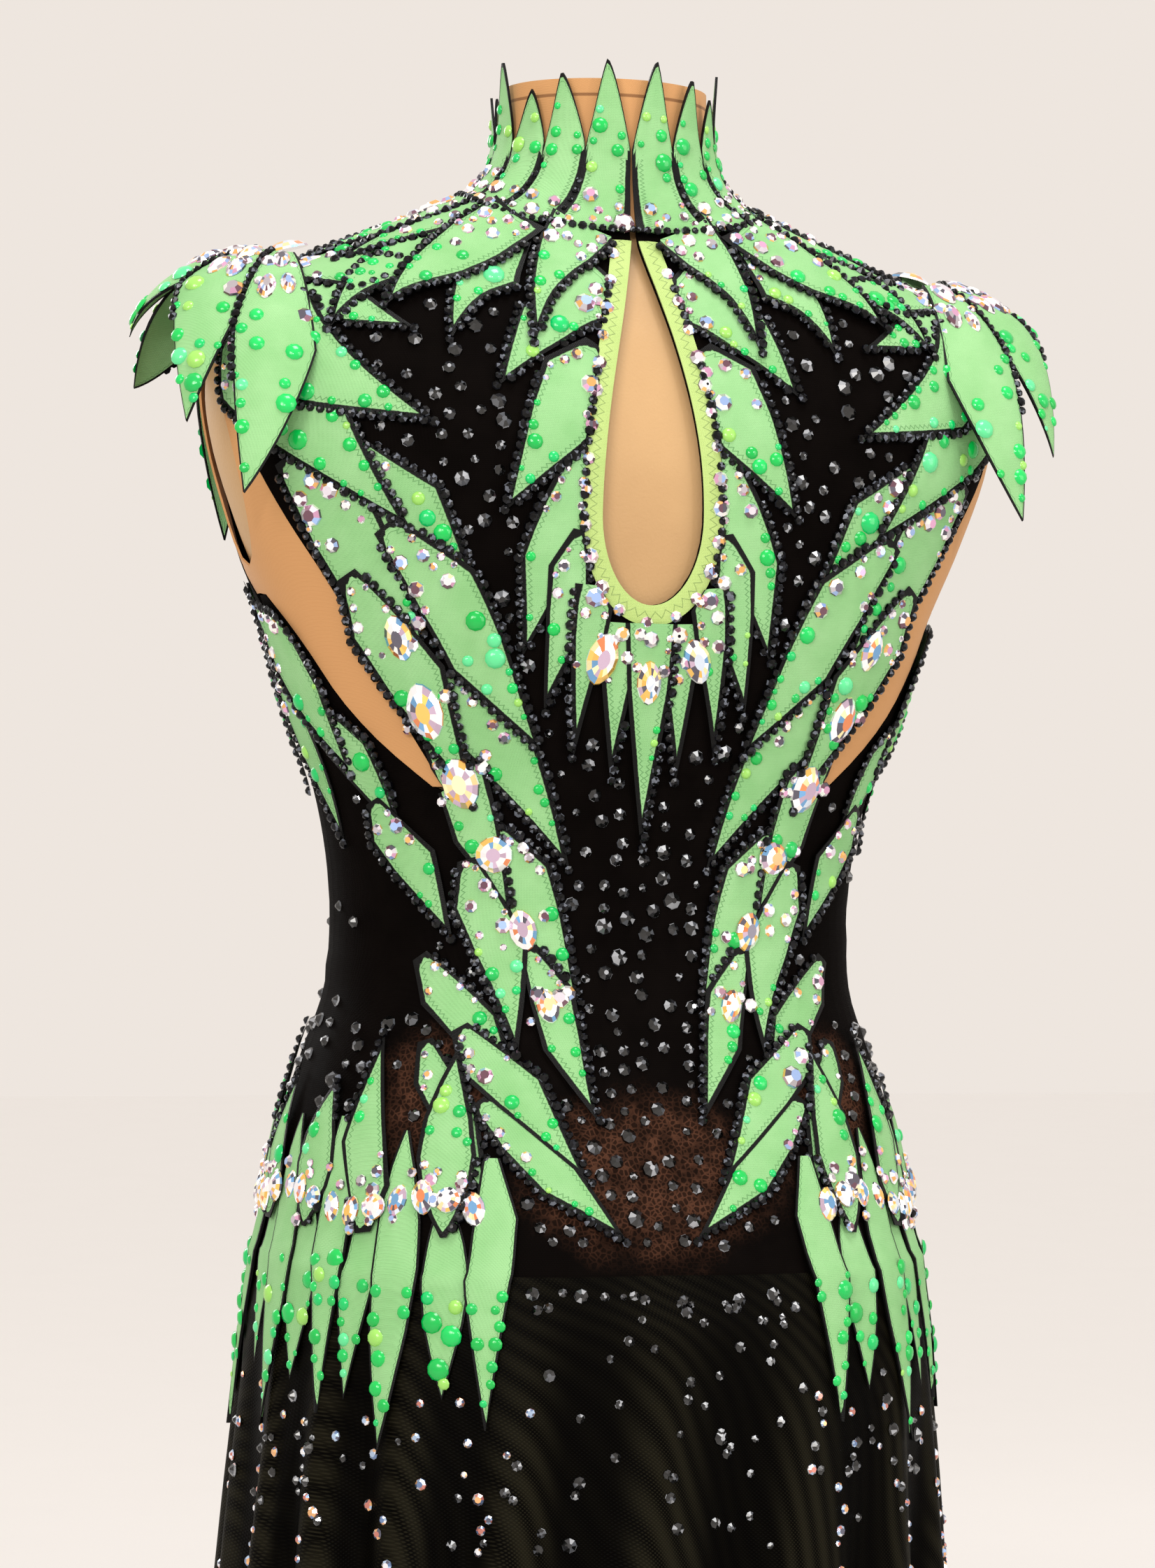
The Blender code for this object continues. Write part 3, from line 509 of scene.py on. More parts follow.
def zigzag_stitch() -> bpy.types.NodeTree:
    """A zigzag stitch line that runs a set way inside an edge, from a map of (way from the edge, way along).

    Returns:
        The group.
    """
    tree = Shared("zigzag_stitch", Map=(0.0, 0.0, 0.0), Inset=0.0032, Swing=0.0008, Pitch=0.0026)
    parts = tree.parts(tree.given["Map"])
    saw = tree.math("PINGPONG", parts[1] / tree.given["Pitch"], 0.5) - 0.25
    line = tree.given["Inset"] + saw * (tree.given["Swing"] * 4.0)
    off = tree.math("ABSOLUTE", parts[0] - line)
    return tree.finish(Thread=tree.step(off, 0.00012, 0.00034, 1.0, 0.0))


def facet_number() -> bpy.types.NodeTree:
    """Two numbers for each facet of each stone, from the facet's direction and the stone's own number.

    Returns:
        The group.
    """
    tree = Shared("facet_number", Stone=0.0)
    snapped = tree.vector("SNAP", tree.node("ShaderNodeNewGeometry")["True Normal"], (0.09, 0.09, 0.09))
    number = tree.math("SNAP", tree.given["Stone"], 0.001) * 71.0
    shifted = tree.vector("ADD", snapped, tree.node("ShaderNodeCombineXYZ", {0: number}))
    white = tree.node("ShaderNodeTexWhiteNoise", {0: shifted})
    return tree.finish(Facet=white, Second=tree.node("ShaderNodeSeparateColor", {0: white[1]})[1])


class Groups:
    """The shader groups that several finishes share, each built once."""

    knit, net, stitch, facet = knit_relief(), net_holes(), zigzag_stitch(), facet_number()


class Painter(Tree):
    """One material's tree, with the calls that finishes use."""

    def __init__(self, name: str) -> None:
        """Starts a material.

        Args:
            name: Its name.
        """
        self.material = bpy.data.materials.new(name)
        self.material.use_nodes = True
        super().__init__(self.material.node_tree)
        self.place = self.node("ShaderNodeTexCoord")["Object"]

    def grain(self, scale: float, detail: float = 2.0) -> Out:
        """Soft noise over the piece."""
        return self.noise(self.place, scale, detail)

    def group(self, shared: bpy.types.NodeTree, **sockets: object) -> Out:
        """Places a shared group."""
        return self.node("ShaderNodeGroup", sockets, node_tree=shared)

    def map(self) -> Out:
        """The piece's own map: the way from its edge and the way along it."""
        return self.node("ShaderNodeUVMap", uv_map="leaf")

    def bump(self, height: Out, depth: float, **under: Out) -> Out:
        """A relief of that depth in metres, over the Normal of another one if there is one."""
        return self.node("ShaderNodeBump", {"Height": height, "Distance": depth, "Strength": 1.0, **under})

    def dressed(self, sockets: dict) -> bpy.types.Material:
        """Feeds the shader, which finishes the material."""
        self.feed(self.tree.nodes["Principled BSDF"], sockets)
        return self.material


@dataclass(frozen=True)
class LeafCloth:
    """The green stretch cloth of the leaves, with its black corded edge and a zigzag seam inside it."""

    name: str = "green_leaf_cloth"
    colour: Row = (0.288, 0.512, 0.246)
    deeper: Row = (0.172, 0.388, 0.146)
    thread: Row = (0.110, 0.290, 0.100)
    edging: Row = (0.004, 0.004, 0.004)
    edging_width: float = 0.0021

    def material(self) -> bpy.types.Material:
        """Builds the finish.

        Returns:
            The material.
        """
        paint = Painter(self.name)
        knit = paint.group(Groups.knit, Place=paint.place, Pitch=0.0009)
        thread = paint.group(Groups.stitch, Map=paint.map(), Inset=0.0036)
        wavy = paint.parts(paint.map()) + paint.grain(900.0) * 0.0005
        edge = paint.step(wavy, self.edging_width, self.edging_width + 0.0004, 1.0, 0.0)
        tone = paint.grain(22.0, 3.0) * 0.8 + knit["Shade"] * 0.3
        stitched = paint.mix(thread * 0.75, paint.mix(tone, self.colour, self.deeper), self.thread)
        relief = knit * 0.35 + (thread * -0.8 + edge * 1.2)
        return paint.dressed({
            "Base Color": paint.mix(edge, stitched, self.edging),
            "Roughness": paint.step(edge, 0.0, 1.0, 0.62, 0.42),
            "Specular IOR Level": 0.10,
            "Normal": paint.bump(relief, 0.00028, Normal=paint.bump(paint.grain(42.0, 3.0), 0.0014)),
        })


@dataclass(frozen=True)
class StretchCloth:
    """Plain stretch cloth, with sheer places (x, y, z, across, up) where it turns brown: partly what lies under it
    showing through, partly a painted sheen in streaks over the stretched cloth.
    """

    name: str
    colour: Row
    lighter: Row
    roughness: float
    sheen: float
    pitch: float = 0.0010
    depth: float = 0.00012
    gloss: float = 0.010
    sheer: tuple[Row, ...] = ()
    sheer_and_sheen_colour: Row = (0.062, 0.026, 0.015)

    def material(self) -> bpy.types.Material:
        """Builds the finish.

        Returns:
            The material.
        """
        paint = Painter(self.name)
        knit = paint.group(Groups.knit, Place=paint.place, Pitch=self.pitch)
        base = paint.mix(paint.grain(14.0, 4.0) * knit["Shade"], self.colour, self.lighter)
        # sheer places: the brown is partly the form showing through and partly painted sheen, laid in crackled streaks
        # that are strongest on the cells' edges and vary in patches
        if self.sheer:
            sockets = {"Vector": paint.place, "Scale": 430.0}
            crackle = paint.node("ShaderNodeTexVoronoi", sockets, feature="DISTANCE_TO_EDGE")
            patchy = paint.step(paint.grain(120.0, 3.0), 0.35, 0.65, 0.35, 1.0)
            shine = paint.step(crackle, 0.04, 0.20, 1.0, 0.25) * patchy
            worn = paint.grain(38.0, 4.0) * 0.9 - 0.45
        for x, y, z, across, up in self.sheer:
            off = paint.vector("SUBTRACT", paint.place, (x, y, z))
            far = paint.vector("LENGTH", paint.vector("MULTIPLY", off, (1 / across, 1 / across, 1 / up)))[1]
            base = paint.mix(paint.step(far + worn, 0.45, 1.15, 1.0, 0.0) * shine, base, self.sheer_and_sheen_colour)
        return paint.dressed({
            "Base Color": base,
            "Roughness": knit["Shade"] * 0.10 + (self.roughness - 0.05),
            "Specular IOR Level": self.gloss,
            "Sheen Weight": self.sheen,
            "Sheen Roughness": 0.35,
            "Normal": paint.bump(knit, self.depth),
        })


@dataclass(frozen=True)
class SheerNet:
    """Sheer net over something else: fine holes, and slow bands where layers cross. With folds, light is painted on the
    folds' crests and shade in their troughs, by the piece's map.
    """

    name: str
    colour: Row
    hole: Row
    pitch: float
    bands: float
    band_depth: float
    roughness: float
    sheen: float
    gloss: float = 0.045
    hem: Pair | None = None
    hem_colour: Row = (0.10, 0.035, 0.015)
    folds: bool = False
    depth: float = 0.00018

    def material(self) -> bpy.types.Material:
        """Builds the finish.

        Returns:
            The material.
        """
        paint = Painter(self.name)
        net = paint.group(Groups.net, Place=paint.place, Pitch=self.pitch, Bands=self.bands)
        tone = paint.math("MINIMUM", net * 0.6 + net["Band"] * self.band_depth, 1.0)
        off = paint.parts(paint.map())
        # painted light and shade of the folds: the map's first way is 1 on the crests, which take more of the lighter
        # second colour, and 0 in the troughs, which stay near black
        if self.folds:
            tone = tone * paint.step(off, 0.30, 1.0, 0.15, 1.8)
        base = paint.mix(tone, self.colour, self.hole)
        if self.hem:
            way, width = self.hem
            line = paint.step(paint.math("ABSOLUTE", off - way), width * 0.5, width, 1.0, 0.0)
            base = paint.mix(line * 0.65, base, self.hem_colour)
        return paint.dressed({
            "Base Color": base,
            "Roughness": net * 0.12 + self.roughness,
            "Specular IOR Level": self.gloss,
            "Sheen Weight": self.sheen,
            "Sheen Roughness": 0.4,
            "Normal": paint.bump(net, self.depth),
        })


@dataclass(frozen=True)
class LimeTape:
    """The lime tape round the keyhole, stitched down with a wide zigzag."""

    name: str = "lime_binding_tape"
    colour: Row = (0.405, 0.535, 0.165)
    deeper: Row = (0.310, 0.440, 0.115)
    thread: Row = (0.22, 0.36, 0.07)

    def material(self) -> bpy.types.Material:
        """Builds the finish.

        Returns:
            The material.
        """
        paint = Painter(self.name)
        knit = paint.group(Groups.knit, Place=paint.place, Pitch=0.0008)
        seam = paint.group(Groups.stitch, Map=paint.map(), Inset=0.0045, Swing=0.0016, Pitch=0.0040)
        cloth = paint.mix(paint.grain(90.0, 3.0), self.colour, self.deeper)
        return paint.dressed({
            "Base Color": paint.mix(seam * 0.7, cloth, self.thread),
            "Roughness": paint.step(seam, 0.0, 1.0, 0.66, 0.45),
            "Sheen Weight": 0.15,
            "Normal": paint.bump(knit * 0.4 + seam, 0.00035),
        })


@dataclass(frozen=True)
class FormSkin:
    """The form's matt skin-coloured cover, with faint marks of handling."""

    name: str = "form_cover"
    colour: Row = (0.450, 0.272, 0.118)
    darker: Row = (0.375, 0.218, 0.090)

    def material(self) -> bpy.types.Material:
        """Builds the finish.

        Returns:
            The material.
        """
        paint = Painter(self.name)
        grain = paint.grain(700.0)
        return paint.dressed({
            "Base Color": paint.mix(paint.step(paint.grain(9.0, 5.0), 0.35, 0.75), self.colour, self.darker),
            "Roughness": grain * 0.14 + 0.50,
            "Normal": paint.bump(grain, 0.00012),
        })


@dataclass(frozen=True)
class BrushedSteel:
    """Turned steel: fine rings round its axis, with a few rubbed places."""

    name: str = "brushed_steel"
    colour: Row = (0.62, 0.62, 0.63)
    darker: Row = (0.50, 0.49, 0.48)

    def material(self) -> bpy.types.Material:
        """Builds the finish.

        Returns:
            The material.
        """
        paint = Painter(self.name)
        rings = paint.noise(paint.vector("MULTIPLY", paint.place, (30.0, 30.0, 900.0)), 1.0, 3.0)
        patchy = paint.step(paint.grain(12.0, 4.0), 0.45, 0.70)
        return paint.dressed({
            "Base Color": paint.mix(patchy, self.colour, self.darker),
            "Metallic": 1.0,
            "Roughness": rings * 0.16 + (patchy * 0.10 + 0.22),
            "Normal": paint.bump(rings, 0.00004),
        })


@dataclass(frozen=True)
class StoneGlass:
    """Cut glass stones: each facet takes one of the finish's colours, and the light ones among them are painted glints
    and reflections that make the stone glitter.
    """

    name: str
    colours: tuple[Row, ...]
    metallic: float
    roughness: float
    painted_glint_glow: float = 0.0
    whole_stone: bool = False
    coat: float = 0.6
    gloss: float = 0.5

    def material(self) -> bpy.types.Material:
        """Builds the finish.

        Returns:
            The material.
        """
        paint = Painter(self.name)
        stone = paint.node("ShaderNodeAttribute", attribute_name="tint")["Fac"]
        facet = paint.group(Groups.facet, Stone=stone)
        tint = paint.node("ShaderNodeValToRGB", {0: stone if self.whole_stone else facet})
        stops = tint.node.color_ramp.elements
        tint.node.color_ramp.interpolation = "CONSTANT"
        while len(stops) < len(self.colours):
            stops.new(0.5)
        for i, colour in enumerate(self.colours):
            stops[i].position = i / len(self.colours)
            stops[i].color = (*colour, 1.0)
        sockets = {
            "Base Color": tint,
            "Metallic": self.metallic,
            "Roughness": facet["Second"] * 0.08 + self.roughness,
            "Specular IOR Level": self.gloss,
            "Coat Weight": self.coat,
            "Coat Roughness": 0.04,
        }
        # painted glints: where there is glow, some facets glow in their own colour though no lamp lights them
        if self.painted_glint_glow:
            glowing_facets = paint.step(facet["Second"], 0.72, 0.80)
            sockets |= {"Emission Color": paint.mix(glowing_facets, (0, 0, 0), tint), "Emission Strength": self.painted_glint_glow}
        return paint.dressed(sockets)


class Finish(NamedTuple):
    """A finish as pieces take it: its material and a slot name, which nothing in the script reads."""

    material: bpy.types.Material
    slot: str


class Finishes:
    """Every finish of the dress, made once."""

    leaf = Finish(LeafCloth().material(), "green_cloth")
    black = Finish(StretchCloth(
        "black_stretch_cloth", (0.0018, 0.0012, 0.0010), (0.0040, 0.0028, 0.0024), 0.62, 0.0,
        # brown places over the lower back and the hips, where the stretched cloth shows the form through it, with a
        # painted sheen in streaks
        sheer=(
            (0.0, -0.105, 0.920, 0.062, 0.042),
            (0.094, -0.085, 0.956, 0.030, 0.036),
            (-0.094, -0.085, 0.956, 0.030, 0.036),
        ),
    ).material(), "black_cloth")
    brief = Finish(StretchCloth(
        "black_brief_cloth", (0.003, 0.003, 0.003), (0.008, 0.007, 0.007), 0.66, 0.02,
    ).material(), "black_cloth")
    # the skirt's second colour shows in the net's holes and, stronger on the flutes' crests, as painted light; the
    # troughs stay near black as painted shade
    skirt = Finish(SheerNet(
        "black_skirt_net", (0.0005, 0.0003, 0.0002), (0.0125, 0.0110, 0.0062), 0.0017, 95.0, 0.35, 0.42, 0.0,
        gloss=0.018, folds=True,
    ).material(), "black_mesh")
    nude = Finish(SheerNet(
        "nude_net", (0.49, 0.255, 0.107), (0.468, 0.240, 0.099), 0.0011, 40.0, 0.02, 0.62, 0.10,
        hem=(0.0075, 0.0010), depth=0.00003,
    ).material(), "nude_mesh")
    tape = Finish(LimeTape().material(), "lime_tape")
    form = Finish(FormSkin().material(), "form_skin")
    steel = Finish(BrushedSteel().material(), "stand_steel")
    # jets: the lightest colour of the palette is a painted glint on some facets; the others are the jets' own black
    jet = Finish(StoneGlass("jet_stones", (
        (0.001, 0.001, 0.001), (0.006, 0.006, 0.007), (0.002, 0.002, 0.002), (0.014, 0.015, 0.019),
        (0.001, 0.001, 0.002), (0.006, 0.006, 0.008), (0.002, 0.002, 0.002), (0.110, 0.120, 0.145),
    ), 0.0, 0.08, coat=0.06, gloss=0.18).material(), "crystal")
    # scattered jets: the two lightest colours are painted glints on some facets; the others are the jets' own black
    spark = Finish(StoneGlass("scattered_jet_stones", (
        (0.002, 0.002, 0.002), (0.014, 0.014, 0.016), (0.001, 0.001, 0.001), (0.075, 0.080, 0.090),
        (0.004, 0.004, 0.004), (0.002, 0.002, 0.002), (0.300, 0.310, 0.330),
    ), 0.0, 0.07, coat=0.5).material(), "crystal")
    cabochon = Finish(StoneGlass("round_green_stones", (
        (0.000, 0.44, 0.066), (0.002, 0.50, 0.090), (0.000, 0.38, 0.055), (0.000, 0.46, 0.105), (0.000, 0.43, 0.075),
        (0.090, 0.60, 0.24), (0.002, 0.40, 0.070), (0.000, 0.45, 0.070), (0.260, 0.56, 0.10), (0.000, 0.39, 0.060),
    ), 0.0, 0.16, whole_stone=True, coat=0.12).material(), "crystal")
    # crystals, here and in the two finishes below: the near-white and near-black facets are painted reflections, the
    # warm, pink and blue ones partly the stones' real rainbow coating and partly painted reflection; the last number is
    # the painted glint glow
    crystal = Finish(StoneGlass("rainbow_crystals", (
        (0.90, 0.88, 0.90), (0.66, 0.34, 0.52), (0.92, 0.90, 0.86), (0.16, 0.07, 0.10), (0.78, 0.72, 0.80),
        (0.82, 0.44, 0.14), (0.34, 0.48, 0.80), (0.46, 0.42, 0.45), (0.95, 0.94, 0.93), (0.10, 0.09, 0.12),
    ), 0.60, 0.07, 0.22).material(), "crystal")
    drop = Finish(StoneGlass("large_rainbow_crystals", (
        (0.93, 0.91, 0.90), (0.86, 0.52, 0.12), (0.95, 0.93, 0.90), (0.16, 0.36, 0.62), (0.92, 0.80, 0.42),
        (0.55, 0.40, 0.52), (0.90, 0.88, 0.90), (0.10, 0.09, 0.12), (0.72, 0.80, 0.92), (0.80, 0.26, 0.10),
    ), 0.6, 0.06, 0.25).material(), "crystal")
    rainbow = Finish(StoneGlass("dark_rainbow_crystals", (
        (0.40, 0.52, 0.70), (0.10, 0.10, 0.14), (0.78, 0.42, 0.18), (0.86, 0.86, 0.90), (0.14, 0.22, 0.40),
        (0.55, 0.20, 0.16),
    ), 0.6, 0.08, 0.15).material(), "crystal")


def grid_faces(rows: int, columns: int, closed: bool = False) -> list[Face]:
    """The faces of a grid of points.

    Args:
        rows: How many rows it has.
        columns: How many points a row has.
        closed: Whether the rows run round.

    Returns:
        The faces.
    """
    return [
        (r * columns + c, r * columns + (c + 1) % columns, (r + 1) * columns + (c + 1) % columns, (r + 1) * columns + c)
        for r in range(rows - 1)
        for c in range(columns if closed else columns - 1)
    ]


def linked(name: str, data: bpy.types.ID) -> bpy.types.Object:
    """A new object in the scene.

    Args:
        name: Its name.
        data: Its mesh, lamp or camera.

    Returns:
        The object.
    """
    item = bpy.data.objects.new(name, data)
    bpy.context.scene.collection.objects.link(item)
    return item


@dataclass
class Shell:
    """A mesh in the making: its points, its faces, which face outwards, and a map of the points."""

    points: Array
    faces: list[Face]
    uv: Array | None = None

    @classmethod
    def grid(cls, rows: Sequence[Array], maps: Sequence[Array] = (), closed: bool = False, ends: int = 0) -> "Shell":
        """A surface through rows of points.

        Args:
            rows: The rows.
            maps: The map of each row's points, if there is one.
            closed: Whether the rows run round.
            ends: Which way the end faces look, 1 or -1, where the first and the last row are closed over.

        Returns:
            The surface.
        """
        columns = len(rows[0])
        faces = grid_faces(len(rows), columns, closed)
        if ends:
            last = (len(rows) - 1) * columns
            faces += [tuple(range(columns))[::-ends], tuple(range(last, last + columns))[::ends]]
        return cls(np.concatenate(rows), faces, np.concatenate(maps) if len(maps) else None)

    @classmethod
    def joined(cls, shells: Sequence["Shell"]) -> "Shell":
        """Several shells as one.

        Args:
            shells: The shells.

        Returns:
            The whole.
        """
        faces, start = [], 0
        for shell in shells:
            faces += [tuple(i + start for i in face) for face in shell.faces]
            start += len(shell.points)
        return cls(np.concatenate([s.points for s in shells]), faces, np.concatenate([s.uv for s in shells]))

    def flipped(self) -> "Shell":
        """The same with its faces turned over."""
        return Shell(self.points, [tuple(reversed(face)) for face in self.faces], self.uv)

    def normals(self) -> Array:
        """The mean direction of the faces round each point.

        Returns:
            The directions.
        """
        index = np.array([(f[0], f[1], f[-2], f[-1]) for f in self.faces])
        corners = self.points[index]
        normal = np.cross(corners[:, 2] - corners[:, 0], corners[:, 3] - corners[:, 1])
        total = np.zeros_like(self.points)
        for k in range(4):
            np.add.at(total, index[:, k], normal)
        return unit(total)

    def walled(self, wall: Array | float) -> "Shell":
        """Gives the surface a wall, outwards, with its rim closed.

        Args:
            wall: The wall's thickness, one for all points or one for each.

        Returns:
            The closed shell.
        """
        count = len(self.points)
        outer = self.points + self.normals() * np.reshape(wall, (-1, 1))
        whole = [*self.faces, *(tuple(i + count for i in reversed(face)) for face in self.faces)]
        edges = {(a, b) for face in self.faces for a, b in zip(face, (*face[1:], face[0]))}
        whole += [(b, a, a + count, b + count) for a, b in edges if (b, a) not in edges]
        uv = None if self.uv is None else np.concatenate([self.uv, self.uv])
        return Shell(np.concatenate([outer, self.points]), whole, uv)

    def item(self, name: str, material: bpy.types.Material, sharp: float | None = 50.0) -> bpy.types.Object:
        """Makes a mesh object at the origin.

        Args:
            name: Its name.
            material: Its material.
            sharp: Smooth shading up to this angle in degrees, or flat where it is None.

        Returns:
            The object.
        """
        mesh = bpy.data.meshes.new(name)
        mesh.from_pydata(self.points.tolist(), [], self.faces)
        if self.uv is not None:
            corners = np.zeros(len(mesh.loops), np.int32)
            mesh.loops.foreach_get("vertex_index", corners)
            uv = np.asarray(self.uv, np.float32)[corners]
            mesh.uv_layers.new(name="leaf").data.foreach_set("uv", uv.ravel())
        if sharp is not None:
            mesh.shade_smooth()
            mesh.set_sharp_from_angle(angle=math.radians(sharp))
        mesh.materials.append(material)
        return linked(name, mesh)

    def piece(self, name: str, finish: Finish, *nodes: str, sharp: float = 50.0) -> bpy.types.Object:
        """Makes a piece of the dress.

        Args:
            name: Its name.
            finish: Its finish.
            nodes: The CAD nodes that it stands for.
            sharp: Smooth shading up to this angle.

        Returns:
            The piece.
        """
        return add_piece(self.item(name, finish.material, sharp), finish, *nodes)

    def cloth(
        self, name: str, finish: Finish, node: str, flat: Pair, held: str, *rests_on: str, stretch: float = 1.0
    ) -> None:
        """Makes a piece that is a sheet of cloth.

        Args:
            name: Its name.
            finish: Its finish.
            node: The CAD node that it stands for, if there is one.
            flat: The width and length of the cloth that it was cut from.
            held: How it is held; not used.
            rests_on: What it lies on; not used.
            stretch: How much larger it is as worn than as cut.
        """
        item = self.piece(name, finish, *node.split())
        area = sum(face.area for face in item.data.polygons) / 2 / stretch
        min(area, flat[0] * flat[1])

    def fitted(self, name: str, finish: Finish, node: str, flat: Pair) -> None:
        """Makes a sheet of stretch cloth that is worn on the form."""
        self.cloth(name, finish, node, flat, "stretched", "form_shell", stretch=STRETCH)


def add_piece(item: bpy.types.Object, finish: Finish, *nodes: str) -> bpy.types.Object:
    """Makes an object part of the dress.

    Args:
        item: The object.
        finish: Its finish; not used.
        nodes: The CAD nodes that it stands for.

    Returns:
        The object.
    """
    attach(item, "root")
    if nodes:
        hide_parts(*nodes)
    LOG.info("%s: %d faces", item.name, len(item.data.polygons))
    return item


LEAF_SIDES = np.array([-1.0, -0.82, -0.45, 0.0, 0.45, 0.82, 1.0])


def lengths(line: Array) -> Array:
    """The way along a line up to each of its points."""
    return np.concatenate([[0], np.cumsum(np.linalg.norm(np.diff(line, axis=0), axis=1))])


def spread(column: Array, count: int) -> Array:
    """A column of values, each repeated along its row."""
    return np.repeat(column[:, None], count, 1)


class LeafShape(Enum):
    """How a leaf widens from its root to its tip, as (share, left, right) of its widest half width."""

    LANCE = (
        (0.0, 0.10, 0.10), (0.12, 0.52, 0.50), (0.28, 0.90, 0.86), (0.42, 1.0, 1.0), (0.62, 0.78, 0.84),
        (0.82, 0.38, 0.44), (1.0, 0.0, 0.0),
    )
    SHARD = ((0.0, 0.34, 0.26), (0.22, 1.0, 0.60), (0.46, 0.74, 1.0), (1.0, 0.0, 0.0))
    KITE = ((0.0, 0.26, 0.40), (0.30, 0.66, 1.0), (0.56, 0.86, 0.66), (1.0, 0.0, 0.0))
    TONGUE = ((0.0, 0.92, 0.92), (0.34, 1.0, 0.90), (0.58, 0.66, 0.84), (1.0, 0.0, 0.0))
    SPIKE = ((0.0, 1.0, 1.0), (0.30, 0.86, 0.80), (1.0, 0.0, 0.0))

    def halves(self, shares: Array, half_width: float) -> Array:
        """The leaf's half width at each of its places.

        Args:
            shares: The shares of its length, one for each row.
            half_width: Its widest half width.

        Returns:
            The half widths, with a column for each of LEAF_SIDES.
        """
        at, *widths = zip(*self.value)
        left, right = (np.interp(shares, at, width)[:, None] for width in widths)
        return np.where(LEAF_SIDES < 0, left, right) * half_width


LANCE, SHARD, KITE, TONGUE, SPIKE = LeafShape


@dataclass
class LeafGrid:
    """A leaf's surface as a grid of points, from root to tip and from its left edge to its right."""

    points: Array
    facing: Array
    uv: Array
    shares: Array
    sides: Array

    def at(self, share: float, side: float) -> tuple[Array, Array, Array]:
        """A place on the leaf.

        Args:
            share: From 0 at the root to 1 at the tip.
            side: From -1 at the left edge to 1 at the right.

        Returns:
            The point, the outward direction there and the direction along the leaf.
        """
        row = np.interp(share, self.shares, np.arange(len(self.shares)))
        column = np.interp(side, self.sides, np.arange(len(self.sides)))
        r, c = min(int(row), len(self.shares) - 2), min(int(column), len(self.sides) - 2)
        u, v = row - r, column - c
        weights = ((r, c, (1 - u) * (1 - v)), (r + 1, c, u * (1 - v)), (r, c + 1, (1 - u) * v), (r + 1, c + 1, u * v))
        point = sum(self.points[i, j] * w for i, j, w in weights)
        facing = unit(sum(self.facing[i, j] * w for i, j, w in weights))
        return point, facing, unit(self.points[r + 1, c] - self.points[r, c])

    @staticmethod
    def thinning(share: Array | float) -> Array:
        """How much of its wall a leaf keeps towards its tip."""
        return 1 - 0.7 * np.clip((np.asarray(share) - 0.72) / 0.28, 0, 1)

    def shell(self, wall: float) -> Shell:
        """Gives the leaf its wall.

        Args:
            wall: Its thickness at the root.

        Returns:
            The closed shell.
        """
        flat = Shell.grid(self.points, self.uv)
        if (flat.normals() * self.facing.reshape(-1, 3)).sum() < 0:
            flat = flat.flipped()
        return flat.walled(np.repeat(wall * self.thinning(self.shares), self.points.shape[1]))

    def edge(self, side: float, lift: float, start: float, end: float, beyond: float = 0.0007) -> tuple[Array, Array]:
        """A line just outside one of the leaf's edges.

        Args:
            side: -1 for the left edge, 1 for the right.
            lift: How far over the leaf's underside.
            start: The share of the leaf's length where the line starts.
            end: The share where it ends.
            beyond: How far outside the edge.

        Returns:
            The line's points and the outward directions there.
        """
        count = max(3, int(np.linalg.norm(self.points[-1, 3] - self.points[0, 3]) * (end - start) / 0.002))
        steps = np.linspace(start, end, count)
        line, facing = (np.array(column) for column in list(zip(*(self.at(share, side) for share in steps)))[:2])
        inner = np.array([self.at(share, side * 0.9)[0] for share in steps])
        away = unit(np.cross(unit(np.gradient(line, axis=0)), facing))
        away *= np.sign(((line - inner) * away).sum(-1).mean() or 1.0)
        return line + away * beyond + facing * lift, facing


class LeafCut(NamedTuple):
    """One sewn leaf: its root and tip as (turn, station), its widest half width and its bow to one side."""

    root: Pair
    tip: Pair
    half_width: float
    bow: float = 0.0
    shape: LeafShape = SHARD
    layer: int = 0

    def mirrored(self) -> "LeafCut":
        """The same leaf on the body's other side."""
        (root, foot), (tip, end) = self.root, self.tip
        return self._replace(root=(-root, foot), tip=(-tip, end), bow=-self.bow)

    def grid(self, lift: float, openings_from: float = 0.98) -> LeafGrid:
        """Lays the leaf over the bodice.

        Args:
            lift: How far its underside lies off the form.
            openings_from: The root's station from which a leaf could reach the open places.

        Returns:
            The leaf's grid.
        """
        mirror = -1.0 if self.root[0] + self.tip[0] < 0 else 1.0
        breaks = [share for share, _, _ in self.shape.value]
        shares = np.unique(np.round(np.concatenate([np.linspace(0, 1, 17), breaks]), 4))
        turn, station = (a + (b - a) * shares for a, b in zip(self.root, self.tip))
        spine = FIGURE.point(turn, station)
        aside = unit(np.cross(unit(np.gradient(spine, axis=0)), FIGURE.outward(turn, station))) * mirror
        half = self.shape.halves(shares, self.half_width)
        off = half * LEAF_SIDES + self.bow * mirror * np.sin(np.pi * shares)[:, None]
        starts = (spread(way, len(LEAF_SIDES)) for way in (turn, station))
        turns, stations = FIGURE.moved(*starts, aside[:, None, :] * off[..., None])
        if self.root[1] > openings_from:
            outside = abs(self.tip[0]) > float(FIGURE.inner(max(self.tip[1], FIGURE.strip_foot))) + 1.0
            turns = FIGURE.kept_on_cloth(turns, stations, outside)
            turns = KEYHOLE.kept_clear(turns, stations) if self.root[0] else turns
        puff = 0.0003 * (1 - np.abs(LEAF_SIDES) ** 3) * np.clip(half / 0.008, 0, 1)
        points = FIGURE.over(turns, stations, lift + LAYER_RISE * self.layer + puff, creased=True)
        length = spread(lengths(spine), len(LEAF_SIDES))
        width = np.linalg.norm(points[:, -1] - points[:, 0], axis=-1)[:, None] / 2
        from_edge = np.minimum(width * (1 - np.abs(LEAF_SIDES)), length + (0.01 if self.shape is SPIKE else 0.0))
        uv = np.stack([from_edge, length], axis=-1)
        return LeafGrid(points, FIGURE.outward(turns, stations), uv, shares, LEAF_SIDES)


